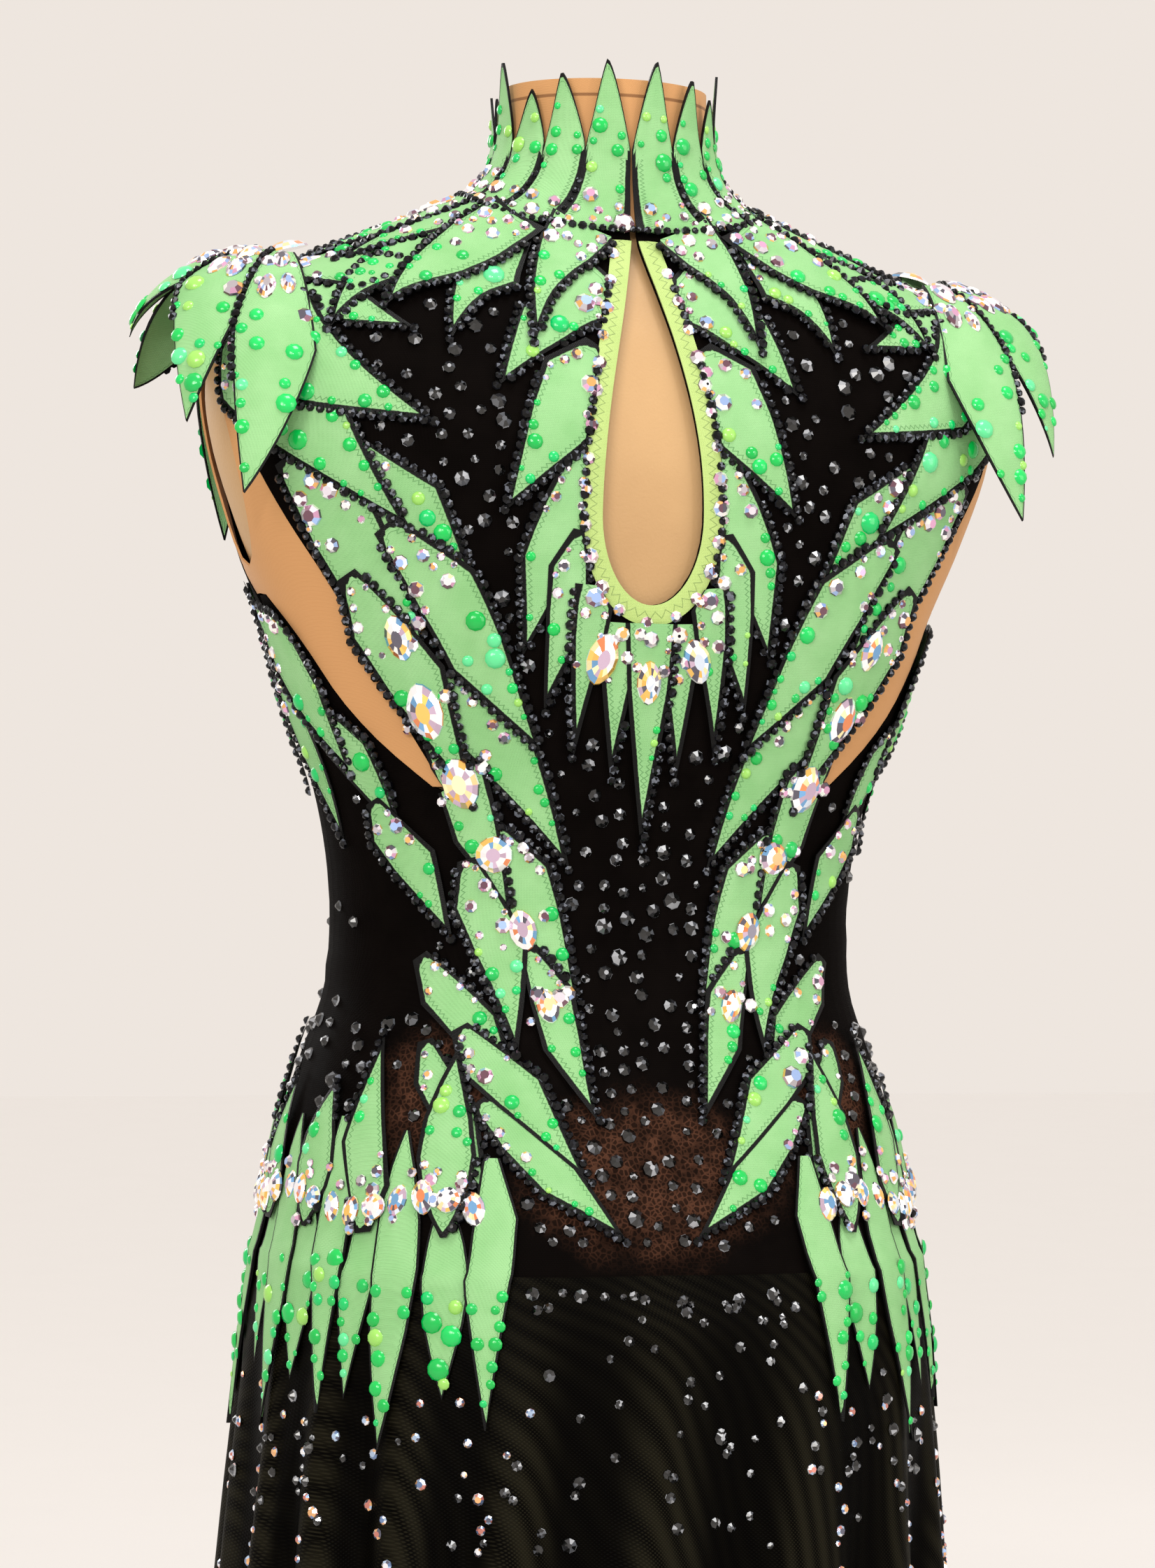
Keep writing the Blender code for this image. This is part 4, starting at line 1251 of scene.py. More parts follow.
class StoneCut(Enum):
    """The shapes of stones: the number of sides, rings of (radius, height) from the rim up, and if it is smooth."""

    ROUND = (8, ((1.0, 0.0), (0.92, 0.22), (0.52, 0.62)), False)
    BEAD = (7, ((1.0, 0.0), (0.86, 0.42), (0.30, 0.86)), False)
    JET = (8, ((1.0, 0.0), (0.90, 0.30), (0.30, 0.90)), False)
    DOME = (10, ((1.0, 0.0), (0.84, 0.30), (0.40, 0.50)), True)
    NAVETTE = (14, ((1.0, 0.0), (0.95, 0.16), (0.70, 0.40), (0.38, 0.56)), False)

    def stone(self) -> bpy.types.Object:
        """A stone of this cut, one across and facing up, with its length along Y.

        Returns:
            The stone.
        """
        sides, rings, smooth = self.value
        pinch = 0.22 if self is StoneCut.NAVETTE else 0.0
        ring = [(math.sin(angle), math.cos(angle)) for angle in (2 * math.pi * i / sides for i in range(sides))]
        rows = [np.array([(r * x * (1 - pinch * abs(y) ** 3), r * y, z) for x, y in ring]) for r, z in rings]
        pattern = Shell.grid(rows, closed=True, ends=1).flipped()
        return pattern.item("stone_pattern", Finishes.jet.material, sharp=60.0 if smooth else None)


def named_value(tree: Tree, name: str) -> Out:
    """A vector that the points carry under a name."""
    return tree.node("GeometryNodeInputNamedAttribute", {"Name": name}, data_type="FLOAT_VECTOR")


def setting_tree(in_rows: bool) -> bpy.types.NodeTree:
    """The nodes that set stones: on each point, or at even steps along lines.

    Args:
        in_rows: Whether the stones follow lines.

    Returns:
        The node tree, with its sizes as named inputs.
    """
    build = Tree(bpy.data.node_groups.new("stones_in_rows" if in_rows else "loose_stones", "GeometryNodeTree"))
    new_socket = build.tree.interface.new_socket
    for label, kind in (("Places", "Geometry"), ("Stone", "Object"), ("Finish", "Material")):
        new_socket(name=label, in_out="INPUT", socket_type="NodeSocket" + kind)
    for label, kind, value in (("Spacing", "Float", 0.0043), ("Unevenness", "Float", 0.12), ("Seed", "Int", 1)):
        new_socket(name=label, in_out="INPUT", socket_type="NodeSocket" + kind).default_value = value
    new_socket(name="Stones", in_out="OUTPUT", socket_type="NodeSocketGeometry")
    given = build.node("NodeGroupInput")
    places, seed = given["Places"], given["Seed"]
    if in_rows:
        lines = build.node("GeometryNodeMeshToCurve", {0: places})
        places = build.node("GeometryNodeResampleCurve", {0: lines, 3: given["Spacing"]}, mode="LENGTH")
    turned = build.node("FunctionNodeAlignRotationToVector", {2: named_value(build, "facing")}, axis="Z")
    ways = {0: turned, 2: named_value(build, "along")}
    turned = build.node("FunctionNodeAlignRotationToVector", ways, axis="Y", pivot_axis="Z")
    limits = {2: build.math("SUBTRACT", 1.0, given["Unevenness"]), 3: given["Unevenness"] + 1.0, 8: seed}
    uneven = build.node("FunctionNodeRandomValue", limits, data_type="FLOAT")[1]
    size = build.vector("MULTIPLY", named_value(build, "size"), uneven)
    pattern = build.node("GeometryNodeObjectInfo", {0: given["Stone"]}, transform_space="ORIGINAL")["Geometry"]
    placed = build.node("GeometryNodeInstanceOnPoints", {0: places, 2: pattern, 5: turned, 6: size})
    tint = build.node("FunctionNodeRandomValue", {2: 0.0, 3: 1.0, 8: seed + 7.0}, data_type="FLOAT")[1]
    marks = {0: placed, 2: "tint", 3: tint}
    placed = build.node("GeometryNodeStoreNamedAttribute", marks, data_type="FLOAT", domain="INSTANCE")
    real = build.node("GeometryNodeRealizeInstances", {0: placed})
    build.node("NodeGroupOutput", {0: build.node("GeometryNodeSetMaterial", {0: real, 2: given["Finish"]})})
    return build.tree


class StoneSetter:
    """Gathers stones of one kind from every leaf, and sets them together at the end."""

    loose, rows = setting_tree(in_rows=False), setting_tree(in_rows=True)
    spacing, unevenness = 0.0046, 0.18

    def __init__(self, name: str, cut: StoneCut, finish: Finish, seed: int) -> None:
        """Starts an empty bag.

        Args:
            name: The piece's name.
            cut: The stones' shape.
            finish: Their finish.
            seed: The seed for their sizes and tints.
        """
        self.name, self.cut, self.finish, self.seed = name, cut, finish, seed
        self.places: list[tuple[Array, Array, Array, Row]] = []
        self.lines: list[tuple[Array, Array, float]] = []

    def add(
        self, foot: Array, facing: Array, along: Array, half_width: float, half_length: float = 0.0, height: float = 0.0
    ) -> None:
        """Adds one stone, by its foot, its directions and its sizes."""
        sizes = half_width, half_length or half_width, height or 0.9 * half_width
        self.places.append((foot, facing, along, sizes))

    def add_on(self, leaf: LeafGrid, share: float, side: float, wall: float, *sizes: float) -> None:
        """Adds one stone on a leaf, by its place there, the leaf's wall and the stone's sizes."""
        point, facing, along = leaf.at(share, side)
        self.add(point + facing * wall, facing, along, *sizes)

    def add_line(self, points: Array, facing: Array, radius: float) -> None:
        """Adds a row of touching stones along a line."""
        self.lines.append((points, facing, radius))

    def carrier(self) -> bpy.types.Object:
        """Makes the points or lines, with what each stone needs to know.

        Returns:
            The object that the stones are set on.
        """
        edges, start = [], 0
        for line, _, _ in self.lines:
            edges += [(start + i, start + i + 1) for i in range(len(line) - 1)]
            start += len(line)
        if self.lines:
            rows = [(line, out, np.gradient(line, axis=0), np.full(line.shape, r)) for line, out, r in self.lines]
            points, *columns = (np.concatenate(column) for column in zip(*rows))
        else:
            points, *columns = (np.array(column, float) for column in zip(*self.places))
        mesh = bpy.data.meshes.new(self.name)
        mesh.from_pydata(points.tolist(), edges, [])
        for label, values in zip(("facing", "along", "size"), columns):
            data = mesh.attributes.new(label, "FLOAT_VECTOR", "POINT").data
            data.foreach_set("vector", values.astype(np.float32).ravel())
        return linked(self.name, mesh)

    def build(self, *nodes: str) -> None:
        """Sets the stones and makes them one plain mesh.

        Args:
            nodes: The CAD nodes that they stand for.
        """
        item, pattern = self.carrier(), self.cut.stone()
        settings = {"Stone": pattern, "Finish": self.finish.material, "Seed": self.seed}
        settings |= {"Spacing": self.spacing, "Unevenness": self.unevenness}
        modifier = item.modifiers.new("stones", "NODES")
        modifier.node_group = self.rows if self.lines else self.loose
        for socket in modifier.node_group.interface.items_tree:
            if socket.in_out == "INPUT" and socket.name in settings:
                modifier[socket.identifier] = settings[socket.name]
        graph = bpy.context.evaluated_depsgraph_get()
        seen = item.evaluated_get(graph)
        mesh = bpy.data.meshes.new_from_object(seen, preserve_all_data_layers=True, depsgraph=graph)
        item.modifiers.clear()
        item.data = mesh
        bpy.data.objects.remove(pattern)
        add_piece(item, self.finish, *nodes)


def new_bag(name: str, cut: StoneCut, finish: Finish, seed: int) -> StoneSetter:
    """A field that starts as an empty bag of stones."""
    return field(default_factory=lambda: StoneSetter(name, cut, finish, seed))


@dataclass
class Jewels:
    """Every kind of stone on the dress, in its own bag."""

    jet_rows: StoneSetter = new_bag("jet_rows", StoneCut.BEAD, Finishes.jet, 3)
    jets: StoneSetter = new_bag("scattered_jets", StoneCut.JET, Finishes.spark, 5)
    cabochons: StoneSetter = new_bag("green_cabochons", StoneCut.DOME, Finishes.cabochon, 7)
    crystals: StoneSetter = new_bag("round_crystals", StoneCut.ROUND, Finishes.crystal, 11)
    navettes: StoneSetter = new_bag("navette_crystals", StoneCut.NAVETTE, Finishes.crystal, 13)
    large: StoneSetter = new_bag("large_stones", StoneCut.NAVETTE, Finishes.drop, 17)
    belt: StoneSetter = new_bag("belt_stones", StoneCut.NAVETTE, Finishes.drop, 29)
    skirt: StoneSetter = new_bag("skirt_stones", StoneCut.ROUND, Finishes.rainbow, 19)
    apart: float = 0.0043

    def __post_init__(self) -> None:
        """Starts the one source of chance that places the stones, and the record of where jets lie."""
        self.chance = np.random.default_rng(20)
        self.cells: dict[tuple[int, ...], list[Array]] = {}

    def draw(self, low: float, high: float) -> float:
        """A number by chance between two."""
        return float(self.chance.uniform(low, high))

    def cell(self, point: Array) -> tuple[int, ...]:
        """The cell of space that a point lies in."""
        return tuple(int(c) for c in np.floor(point / self.apart))

    def free(self, point: Array) -> bool:
        """Whether no row of jets lies at a point yet.

        Args:
            point: The point.

        Returns:
            Whether it is free.
        """
        x, y, z = self.cell(point)
        around = ((x + i, y + j, z + k) for i, j, k in product((-1, 0, 1), repeat=3))
        return all(np.linalg.norm(point - other) > self.apart for key in around for other in self.cells.get(key, ()))

    def take(self, line: Array) -> None:
        """Notes a row of jets."""
        for point in line:
            self.cells.setdefault(self.cell(point), []).append(point)

    def on_leaf(
        self, leaf: LeafGrid, lift: float, cabochons: int, crystals: int, hidden: Hidden | None = None
    ) -> None:
        """Sews a leaf's own stones: round green ones to the tip, crystals at the root.

        Args:
            leaf: The leaf.
            lift: The leaf's wall.
            cabochons: How many green stones.
            crystals: How many crystals.
            hidden: Tells whether a place lies under another leaf.
        """
        taken: list[Array] = []
        chance = self.chance
        lean = float(chance.choice((-1, 1)))
        kinds = (
            (self.crystals, crystals, 0.04, 0.38, (0.35,), 0.28, 0.0024, 1.2),
            (self.cabochons, cabochons, 0.94, 0.44, (0.12, 0.42, 0.80), 0.13, 0.0025, 1.1),
        )
        for bag, count, low, high, middles, reach, least, power in kinds:
            for _ in range(count):
                middle = float(chance.choice(middles)) if len(middles) > 1 else middles[0]
                for _ in range(16):
                    share = low + (high - low) * min(1.0, abs(middle + float(chance.normal(0.0, reach))))
                    side = float(lean * (1 if chance.random() < 0.80 else -1) * chance.uniform(0.18, 0.86) ** 0.6)
                    point, facing, along = leaf.at(share, side)
                    edge = float(np.interp(share, leaf.shares, leaf.uv[:, leaf.uv.shape[1] // 2, 0]))
                    room = edge * (1 - abs(side)) - 0.0012
                    size = min(float(least + 0.0024 * chance.random() ** power), 0.9 * room)
                    if size < 0.0015 or (hidden and hidden(point)):
                        continue
                    if all(np.linalg.norm(point - other) > size + 0.0038 for other in taken):
                        taken.append(point)
                        bag.add(point + facing * lift * leaf.thinning(share), facing, along, size)
                        break

    def along_edge(
        self, leaf: LeafGrid, side: float, radius: float, lift: float, start: float, end: float,
        hidden: Hidden | None = None,
    ) -> None:
        """Sews a row of jets along a leaf's edge, where it isn't hidden.

        Args:
            leaf: The leaf.
            side: The edge.
            radius: The jets' size.
            lift: How far over the leaf's underside they lie.
            start: Where the row starts.
            end: Where it ends.
            hidden: Tells whether a place lies under another leaf.
        """
        line, facing = leaf.edge(side, lift, start, end)
        seen = [self.free(point) and not (hidden and hidden(point)) for point in line]
        first = None
        for i, shown in enumerate([*seen, False]):
            if shown and first is None:
                first = i
            elif not shown and first is not None:
                if i - first > 3:
                    self.jet_rows.add_line(line[first:i], facing[first:i], radius)
                    self.take(line[first:i])
                first = None

    def build(self) -> None:
        """Sets every bag of stones."""
        for bag in (self.jet_rows, self.jets, self.cabochons, self.crystals, self.navettes, self.belt, self.skirt):
            bag.build()
        self.large.build(*(f"stone_{side}_{n}" for side in ("left", "right") for n in range(1, 8)))


JEWELS = Jewels()


@dataclass
class Keyhole:
    """The opening down the back: a teardrop, round at its foot, with its lime binding."""

    top: float = 1.3385
    widest: float = 1.214
    bottom: float = 1.174
    half_width: float = 0.0235
    top_half_width: float = 0.0016
    binding_width: float = 0.009
    binding_top: float = 1.345
    stones_apart: float = 0.0125

    def half_width_at(self, height: Array | float) -> Array:
        """Half the opening's width.

        Args:
            height: The heights.

        Returns:
            The half widths, nothing below the opening's foot.
        """
        height = np.asarray(height, float)
        low = np.clip((self.widest - height) / (self.widest - self.bottom), 0, 1)
        high = np.clip((height - self.widest) / (self.top - self.widest), 0, 1)
        foot = self.half_width * np.sqrt(np.clip(1 - low**2, 0, 1))
        taper = np.cos(high * math.pi / 2) ** 1.15
        throat = self.top_half_width + (self.half_width - self.top_half_width) * taper
        return np.where(height <= self.widest, foot, throat)

    def kept_clear(self, turn: Array, station: Array) -> Array:
        """Holds turns outside the binding.

        Args:
            turn: The turns.
            station: The stations.

        Returns:
            The turns, moved to the binding's outer edge where they were inside it.
        """
        height = FIGURE.height(station)
        low = np.clip((self.widest - height) / (self.widest - self.bottom + self.binding_width), 0, 1)
        foot = (self.half_width + self.binding_width) * np.sqrt(1 - low**2)
        wide = np.where(height < self.widest, foot, self.half_width_at(height) + self.binding_width)
        beside = (height > self.bottom - self.binding_width) & (height < self.binding_top)
        wide = np.where(beside, wide + 0.0004, 0.0)
        edge = np.degrees(np.arcsin(np.clip(wide / FIGURE.half_width(station), 0, 0.99)))
        return np.where(np.abs(turn) < 90, np.sign(turn + 1e-9) * np.maximum(np.abs(turn), edge), turn)

    def turn_at(self, station: float) -> float:
        """The turn of the opening's right edge.

        Args:
            station: The station on a level panel.

        Returns:
            The turn.
        """
        real = float(FIGURE.under_neckline(np.array(0.0), np.array(station)))
        half = float(self.half_width_at(float(FIGURE.height(real))))
        return math.degrees(math.asin(half / float(FIGURE.half_width(real))))

    def build(self) -> None:
        """Makes the binding."""
        share = np.linspace(0, 1, 60)
        height = self.top - (self.top - self.bottom) * np.sin(share * math.pi / 2)
        across = self.half_width_at(height)
        across[-1] = 0.0
        ring = np.concatenate([np.stack([across, height], 1), np.stack([-across, height], 1)[-2::-1]])
        along = unit(np.gradient(ring, axis=0))
        away = np.stack([-along[:, 1], along[:, 0]], axis=1)
        lines, maps = [], []
        for part in (0.02, 0.12, 0.5, 0.88, 1.0):
            flat = ring + away * self.binding_width * part
            flat[0, 1] = flat[-1, 1] = self.top
            station = FIGURE.station_of_height(flat[:, 1])
            turn = np.degrees(np.arcsin(flat[:, 0] / FIGURE.half_width(station)))
            bulge = 0.0004 * math.sin(math.pi * part)
            lines.append(FIGURE.over(turn, station, BODICE_OUTSIDE + 0.0004 + bulge))
            maps.append(np.stack([np.full(len(ring), part * self.binding_width), lengths(ring)], axis=1))
        tape = Shell.grid(lines, maps).walled(0.0010)
        tape.cloth("keyhole_binding_tape", Finishes.tape, "keyhole_binding", (0.012, 0.36), "stretched", BACK)
        self.sew_stones(lines[3])

    def sew_stones(self, line: Array) -> None:
        """Sews round crystals along the binding's outer side.

        Args:
            line: The points to sew them on.
        """
        way = 0.0
        for i in range(2, len(line) - 2):
            way += float(np.linalg.norm(line[i] - line[i - 1]))
            if way > self.stones_apart:
                way = 0.0
                facing = FIGURE.outward(np.array(0.0), FIGURE.station_of_height(line[i, 2]))
                JEWELS.crystals.add(line[i] + facing * 0.0010, facing, UP, JEWELS.draw(0.0026, 0.0042))


KEYHOLE = Keyhole()


@dataclass
class Bodice:
    """The black back with its keyhole and open strips, the plain black front, and the nude net between them."""

    underarm: float = 1.178
    armhole_low: float = 1.191
    armhole_high: float = 1.295
    seam_gap: float = 0.0005
    side: float = 89.985
    wall: float = 0.0015
    net_wall: float = 0.0010
    net_top: float = 1.331
    row_height: float = 0.0075
    seam_turn: float = 0.17
    hole_turn: float = 13.5

    def __post_init__(self) -> None:
        """Spreads the rows."""
        fixed = [
            HIP_SEAM - 0.0025, FIGURE.strip_foot, self.underarm, self.armhole_low, self.armhole_high, FIGURE.shoulder,
            FIGURE.neckline_side,
        ]
        even = np.arange(HIP_SEAM + 0.008, FIGURE.neckline_side, self.row_height)
        foot = [KEYHOLE.bottom + x for x in (0.00001, 0.0006, 0.002, 0.0045, 0.008)]
        rows = [s for s in even if all(abs(s - f) > 0.003 for f in (*fixed, *foot))]
        self.rows = sorted([*fixed, *rows, *foot, FIGURE.strip_foot + 0.002])

    @staticmethod
    def strip_side(station: float) -> float:
        """The strip's outer edge, or its inner one below its foot, where the cloth is whole."""
        return float(FIGURE.outer(station) if station > FIGURE.strip_foot + 1e-6 else FIGURE.inner(station))

    @staticmethod
    def panel(
        rows: Row, posts: Sequence[tuple[Line, Line]], bays: Sequence[tuple[int, int, int]]
    ) -> tuple[Array, list[Face]]:
        """A panel of cloth between lines up the body.

        Args:
            rows: The stations of its rows.
            posts: The lines, each by its left and right turn; where they differ, the panel is open.
            bays: The cloth between two lines, by its columns and its first and last row.

        Returns:
            The places as (turn, station), and the faces.
        """
        places: list[Pair] = []
        faces: list[Face] = []
        index: dict[tuple, int] = {}
        for b, (columns, first, last) in enumerate(bays):
            grid = []
            for r in range(first, last + 1):
                left, right = posts[b][1](rows[r]), posts[b + 1][0](rows[r])
                line = []
                for c in range(columns + 1):
                    key: tuple = (b, r, c)
                    if c in (0, columns):
                        edge = b + (c == columns)
                        shut = abs(posts[edge][0](rows[r]) - posts[edge][1](rows[r])) < 1e-6
                        key = ("post", edge, r) if shut else ("post", edge, r, c == 0)
                    if key not in index:
                        index[key] = len(places)
                        places.append((left + (right - left) * c / columns, rows[r]))
                    line.append(index[key])
                grid.append(line)
            for low, high in zip(grid, grid[1:]):
                faces += [(low[c], low[c + 1], high[c + 1], high[c]) for c in range(columns)]
        return np.array(places), faces

    @staticmethod
    def laid(places: Array, faces: list[Face], wall: float) -> Shell:
        """Lays a panel over the form and gives it its wall.

        Args:
            places: The panel's places.
            faces: Its faces.
            wall: Its thickness.

        Returns:
            The closed shell.
        """
        station = FIGURE.under_neckline(places[:, 0], places[:, 1])
        points = FIGURE.over(places[:, 0], station, FIT, creased=True)
        return Shell(points, faces, np.full((len(points), 2), 0.05)).walled(wall)

    def build(self) -> None:
        """Makes the back, the front and the net at each side."""
        top, underarm = len(self.rows) - 1, self.rows.index(self.underarm)
        side: Line = lambda s: self.side
        inner: Line = lambda s: min(float(FIGURE.inner(s)), self.side)
        outer: Line = lambda s: min(self.strip_side(s), self.side)
        hole: Line = lambda s: KEYHOLE.turn_at(s) if s > KEYHOLE.bottom else 0.0
        armhole: Line = lambda s: max(float(FIGURE.armhole(s)), 180 - self.side)
        left = [lambda s, line=line: -line(s) for line in (side, outer, inner, hole)]
        posts = ((left[0],) * 2, (left[1], left[2]), (left[3], hole), (inner, outer), (side,) * 2)
        bays = ((10, 0, underarm), (22, 0, top), (22, 0, top), (10, 0, underarm))
        back = self.laid(*self.panel(self.rows, posts, bays), self.wall)
        back.fitted(BACK, Finishes.black, "bodice_back", (0.48, 0.47))
        posts = ((armhole,) * 2, (lambda s: 360.0 - armhole(s),) * 2)
        front = self.laid(*self.panel(self.rows, posts, ((56, 0, top),)), self.wall)
        front.fitted(FRONT, Finishes.black, "bodice_front", (0.46, 0.46))
        self.build_side("right", 1)
        self.build_side("left", -1)

    def half_hole(self, station: float) -> float:
        """Half the armhole's turn.

        Args:
            station: The station.

        Returns:
            The turn from the armhole's middle to its edge.
        """
        middle, half = (self.armhole_low + self.armhole_high) / 2, (self.armhole_high - self.armhole_low) / 2
        return self.hole_turn * math.sqrt(max(0.0, 1 - ((station - middle) / half) ** 2))

    def build_side(self, name: str, sign: int) -> None:
        """Makes the nude net of one side, from the strip's foot to the armhole.

        Args:
            name: The side's name.
            sign: 1 for the right side, -1 for the left.
        """
        over_underarm = self.underarm + 2 * self.seam_gap
        rows = [s for s in self.rows if FIGURE.strip_foot + 0.001 < s < self.net_top]
        rows = sorted([*(s for s in rows if abs(s - self.underarm) > 0.0012), self.underarm, over_underarm])
        low, top = rows.index(over_underarm), len(rows) - 1
        gap = self.seam_turn
        inner: Line = lambda s: float(FIGURE.inner(s)) + gap
        back: Line = lambda s: float(FIGURE.outer(s)) - gap if s <= self.underarm else 90.0 - self.half_hole(s)
        front: Line = lambda s: 90.0 + self.half_hole(s)
        edge: Line = lambda s: float(FIGURE.armhole(s)) - gap
        places, faces = self.panel(rows, ((inner, inner), (back, front), (edge, edge)), ((10, 0, top), (8, low, top)))
        if sign < 0:
            faces = [tuple(reversed(face)) for face in faces]
            places[:, 0] *= -1
        net = self.laid(places, faces, self.net_wall)
        net.fitted(f"nude_net_{name}", Finishes.nude, f"mesh_side_{name}", (0.10, 0.24))


BODICE = Bodice()


@dataclass
class Collar:
    """The nude stand collar and, over it, two halves of green leaf points that button at the back."""

    points: int = 8
    across: int = 16
    rows: int = 18
    notch: float = 1.452
    net_end: float = 1.488
    lift: float = 0.0034
    wall: float = 0.0012
    net_wall: float = 0.0010

    def build_net(self) -> None:
        """Makes the nude collar, with the fold of its hem."""
        turns = np.arange(0, 360, 4.0)
        low = FIGURE.neckline(turns) + 0.0012
        stations = [low + (self.net_end - low) * share for share in np.linspace(0, 1, 14)]
        rows = [FIGURE.over(turns, station, FIT) for station in stations]
        maps = [np.stack([(self.net_end - station) * 0.97, np.radians(turns) * 0.05], axis=1) for station in stations]
        net = Shell.grid(rows, maps, closed=True).walled(self.net_wall)
        net.fitted("nude_collar", Finishes.nude, "mesh_collar", (0.33, 0.085))

    def build_half(self, name: str, sign: int) -> None:
        """Makes one half of the leaf collar with its stones.

        Args:
            name: The side's name.
            sign: 1 for the right side, -1 for the left.
        """
        count = self.points * self.across
        step = np.arange(count + 1)
        turns = 0.8 + (179.2 - 0.8) * step / count
        share = (step % self.across) / self.across
        number = np.minimum(step // self.across, self.points - 1)
        tip = 1.490 + 0.009 * np.sin(2.3 * number + 0.8)
        leaned = 0.5 + 0.14 * np.sin(1.9 * number + 0.4)
        rise = np.where(share < leaned, 1 - (1 - share / leaned) ** 1.5, 1 - ((share - leaned) / (1 - leaned)) ** 1.25)
        tops = self.notch + (tip - self.notch) * rise
        low = FIGURE.neckline(turns) - 0.0025
        around = np.radians(178.4) * 0.052 / self.points
        rows, maps = [], []
        for r in range(self.rows):
            part = r / (self.rows - 1)
            station = low + (tops - low) * part
            puff = 0.0006 * np.sin(np.pi * share) ** 0.7
            lift = self.lift + 0.0025 * rise * part**3 + puff * (part > 0)
            rows.append(FIGURE.over(turns * sign, station, lift))
            from_seam = np.minimum(share, 1 - share) * around + np.clip((station - self.notch) / 0.01, 0, 1)
            from_top = (tops - station) * 0.50
            maps.append(np.stack([np.minimum(from_seam, from_top * FREE_LEAF_MAP), station], axis=1))
        half = Shell.grid(rows, maps)
        half = half.flipped() if sign < 0 else half
        sewn = half.walled(self.wall)
        sewn.cloth(f"leaf_collar_{name}", Finishes.leaf, f"collar_{name}", (0.20, 0.085), "stretched", "nude_collar")
        facing = half.normals().reshape(self.rows, -1, 3)
        self.sew_stones(half.points.reshape(facing.shape) + facing * self.wall, facing, around / 2)

    def sew_stones(self, points: Array, facing: Array, half_width: float) -> None:
        """Sews each point's stones, the jets between the points and the row of jets along the seam.

        Args:
            points: The half's outer face, row by row.
            facing: The outward directions there.
            half_width: Half the width of one point.
        """
        parts = np.linspace(0, 1, self.rows)
        room = spread(half_width * np.minimum(1, (1 - parts) / 0.22), self.across + 1)
        for first in range(0, self.points * self.across, self.across):
            part = slice(first, first + self.across + 1)
            uv = np.stack([room, room], axis=-1)
            leaf = LeafGrid(points[:, part], facing[:, part], uv, parts, np.linspace(-1, 1, self.across + 1))
            JEWELS.on_leaf(leaf, 0.0002, cabochons=8, crystals=12)
            if first:
                out = facing[:13, first]
                JEWELS.jet_rows.add_line(points[:13, first] + out * JET_SEAT, out, 0.0017)
        seam, out = points[0, ::2], facing[0, ::2]
        JEWELS.jet_rows.add_line(seam + out * 0.0017, out, 0.0020)
        JEWELS.take(seam)

    def build_button(self) -> None:
        """Makes the cut stone that buttons the collar."""
        button = StoneSetter("button_stone", StoneCut.ROUND, Finishes.crystal, 23)
        seat = FIGURE.seat(-3.0, float(FIGURE.neckline(0.0)) + 0.004, self.lift + self.wall + 0.0012)
        button.add(*seat, UP, 0.0055, height=0.0052)
        button.build("neck_button")

    def build(self) -> None:
        """Makes the whole collar."""
        self.build_net()
        self.build_half("right", 1)
        self.build_half("left", -1)
        self.build_button()


class LeafField:
    """The surfaces of leaves as points, which tell what lies under another leaf and which leaf is on top."""

    def __init__(self, leaves: Sequence[tuple[LeafGrid, int]]) -> None:
        """Takes samples of each leaf.

        Args:
            leaves: The leaves with their layers.
        """
        spots, self.layers = [], []
        for leaf, layer in leaves:
            for share, side in product(np.linspace(0.02, 0.98, 36), np.linspace(-0.97, 0.97, 9)):
                spots.append(leaf.at(float(share), float(side))[0])
                self.layers.append(layer)
        self.tree = KDTree(len(spots))
        for i, spot in enumerate(spots):
            self.tree.insert(spot, i)
        self.tree.balance()

    def hides(self, point: Array, layer: int, reach: float = 0.0030) -> bool:
        """Whether a leaf of a higher layer lies within reach of the point."""
        return any(self.layers[i] > layer for _, i, _ in self.tree.find_range(point, reach))

    def near(self, point: Array) -> float:
        """The way to the nearest leaf."""
        return self.tree.find(point)[2]

    def top(self, point: Array, facing: Array, reach: float = 0.0045) -> float:
        """How far the topmost leaf's underside stands over a point.

        Args:
            point: The point.
            facing: The outward direction there.
            reach: How far to the side a leaf may lie.

        Returns:
            The rise, or nothing where no leaf is.
        """
        ways = [np.array(spot) - point for spot, _, _ in self.tree.find_range(point, reach + 0.004)]
        return max((float(way @ facing) for way in ways if np.linalg.norm(np.cross(way, facing)) < reach), default=0.0)


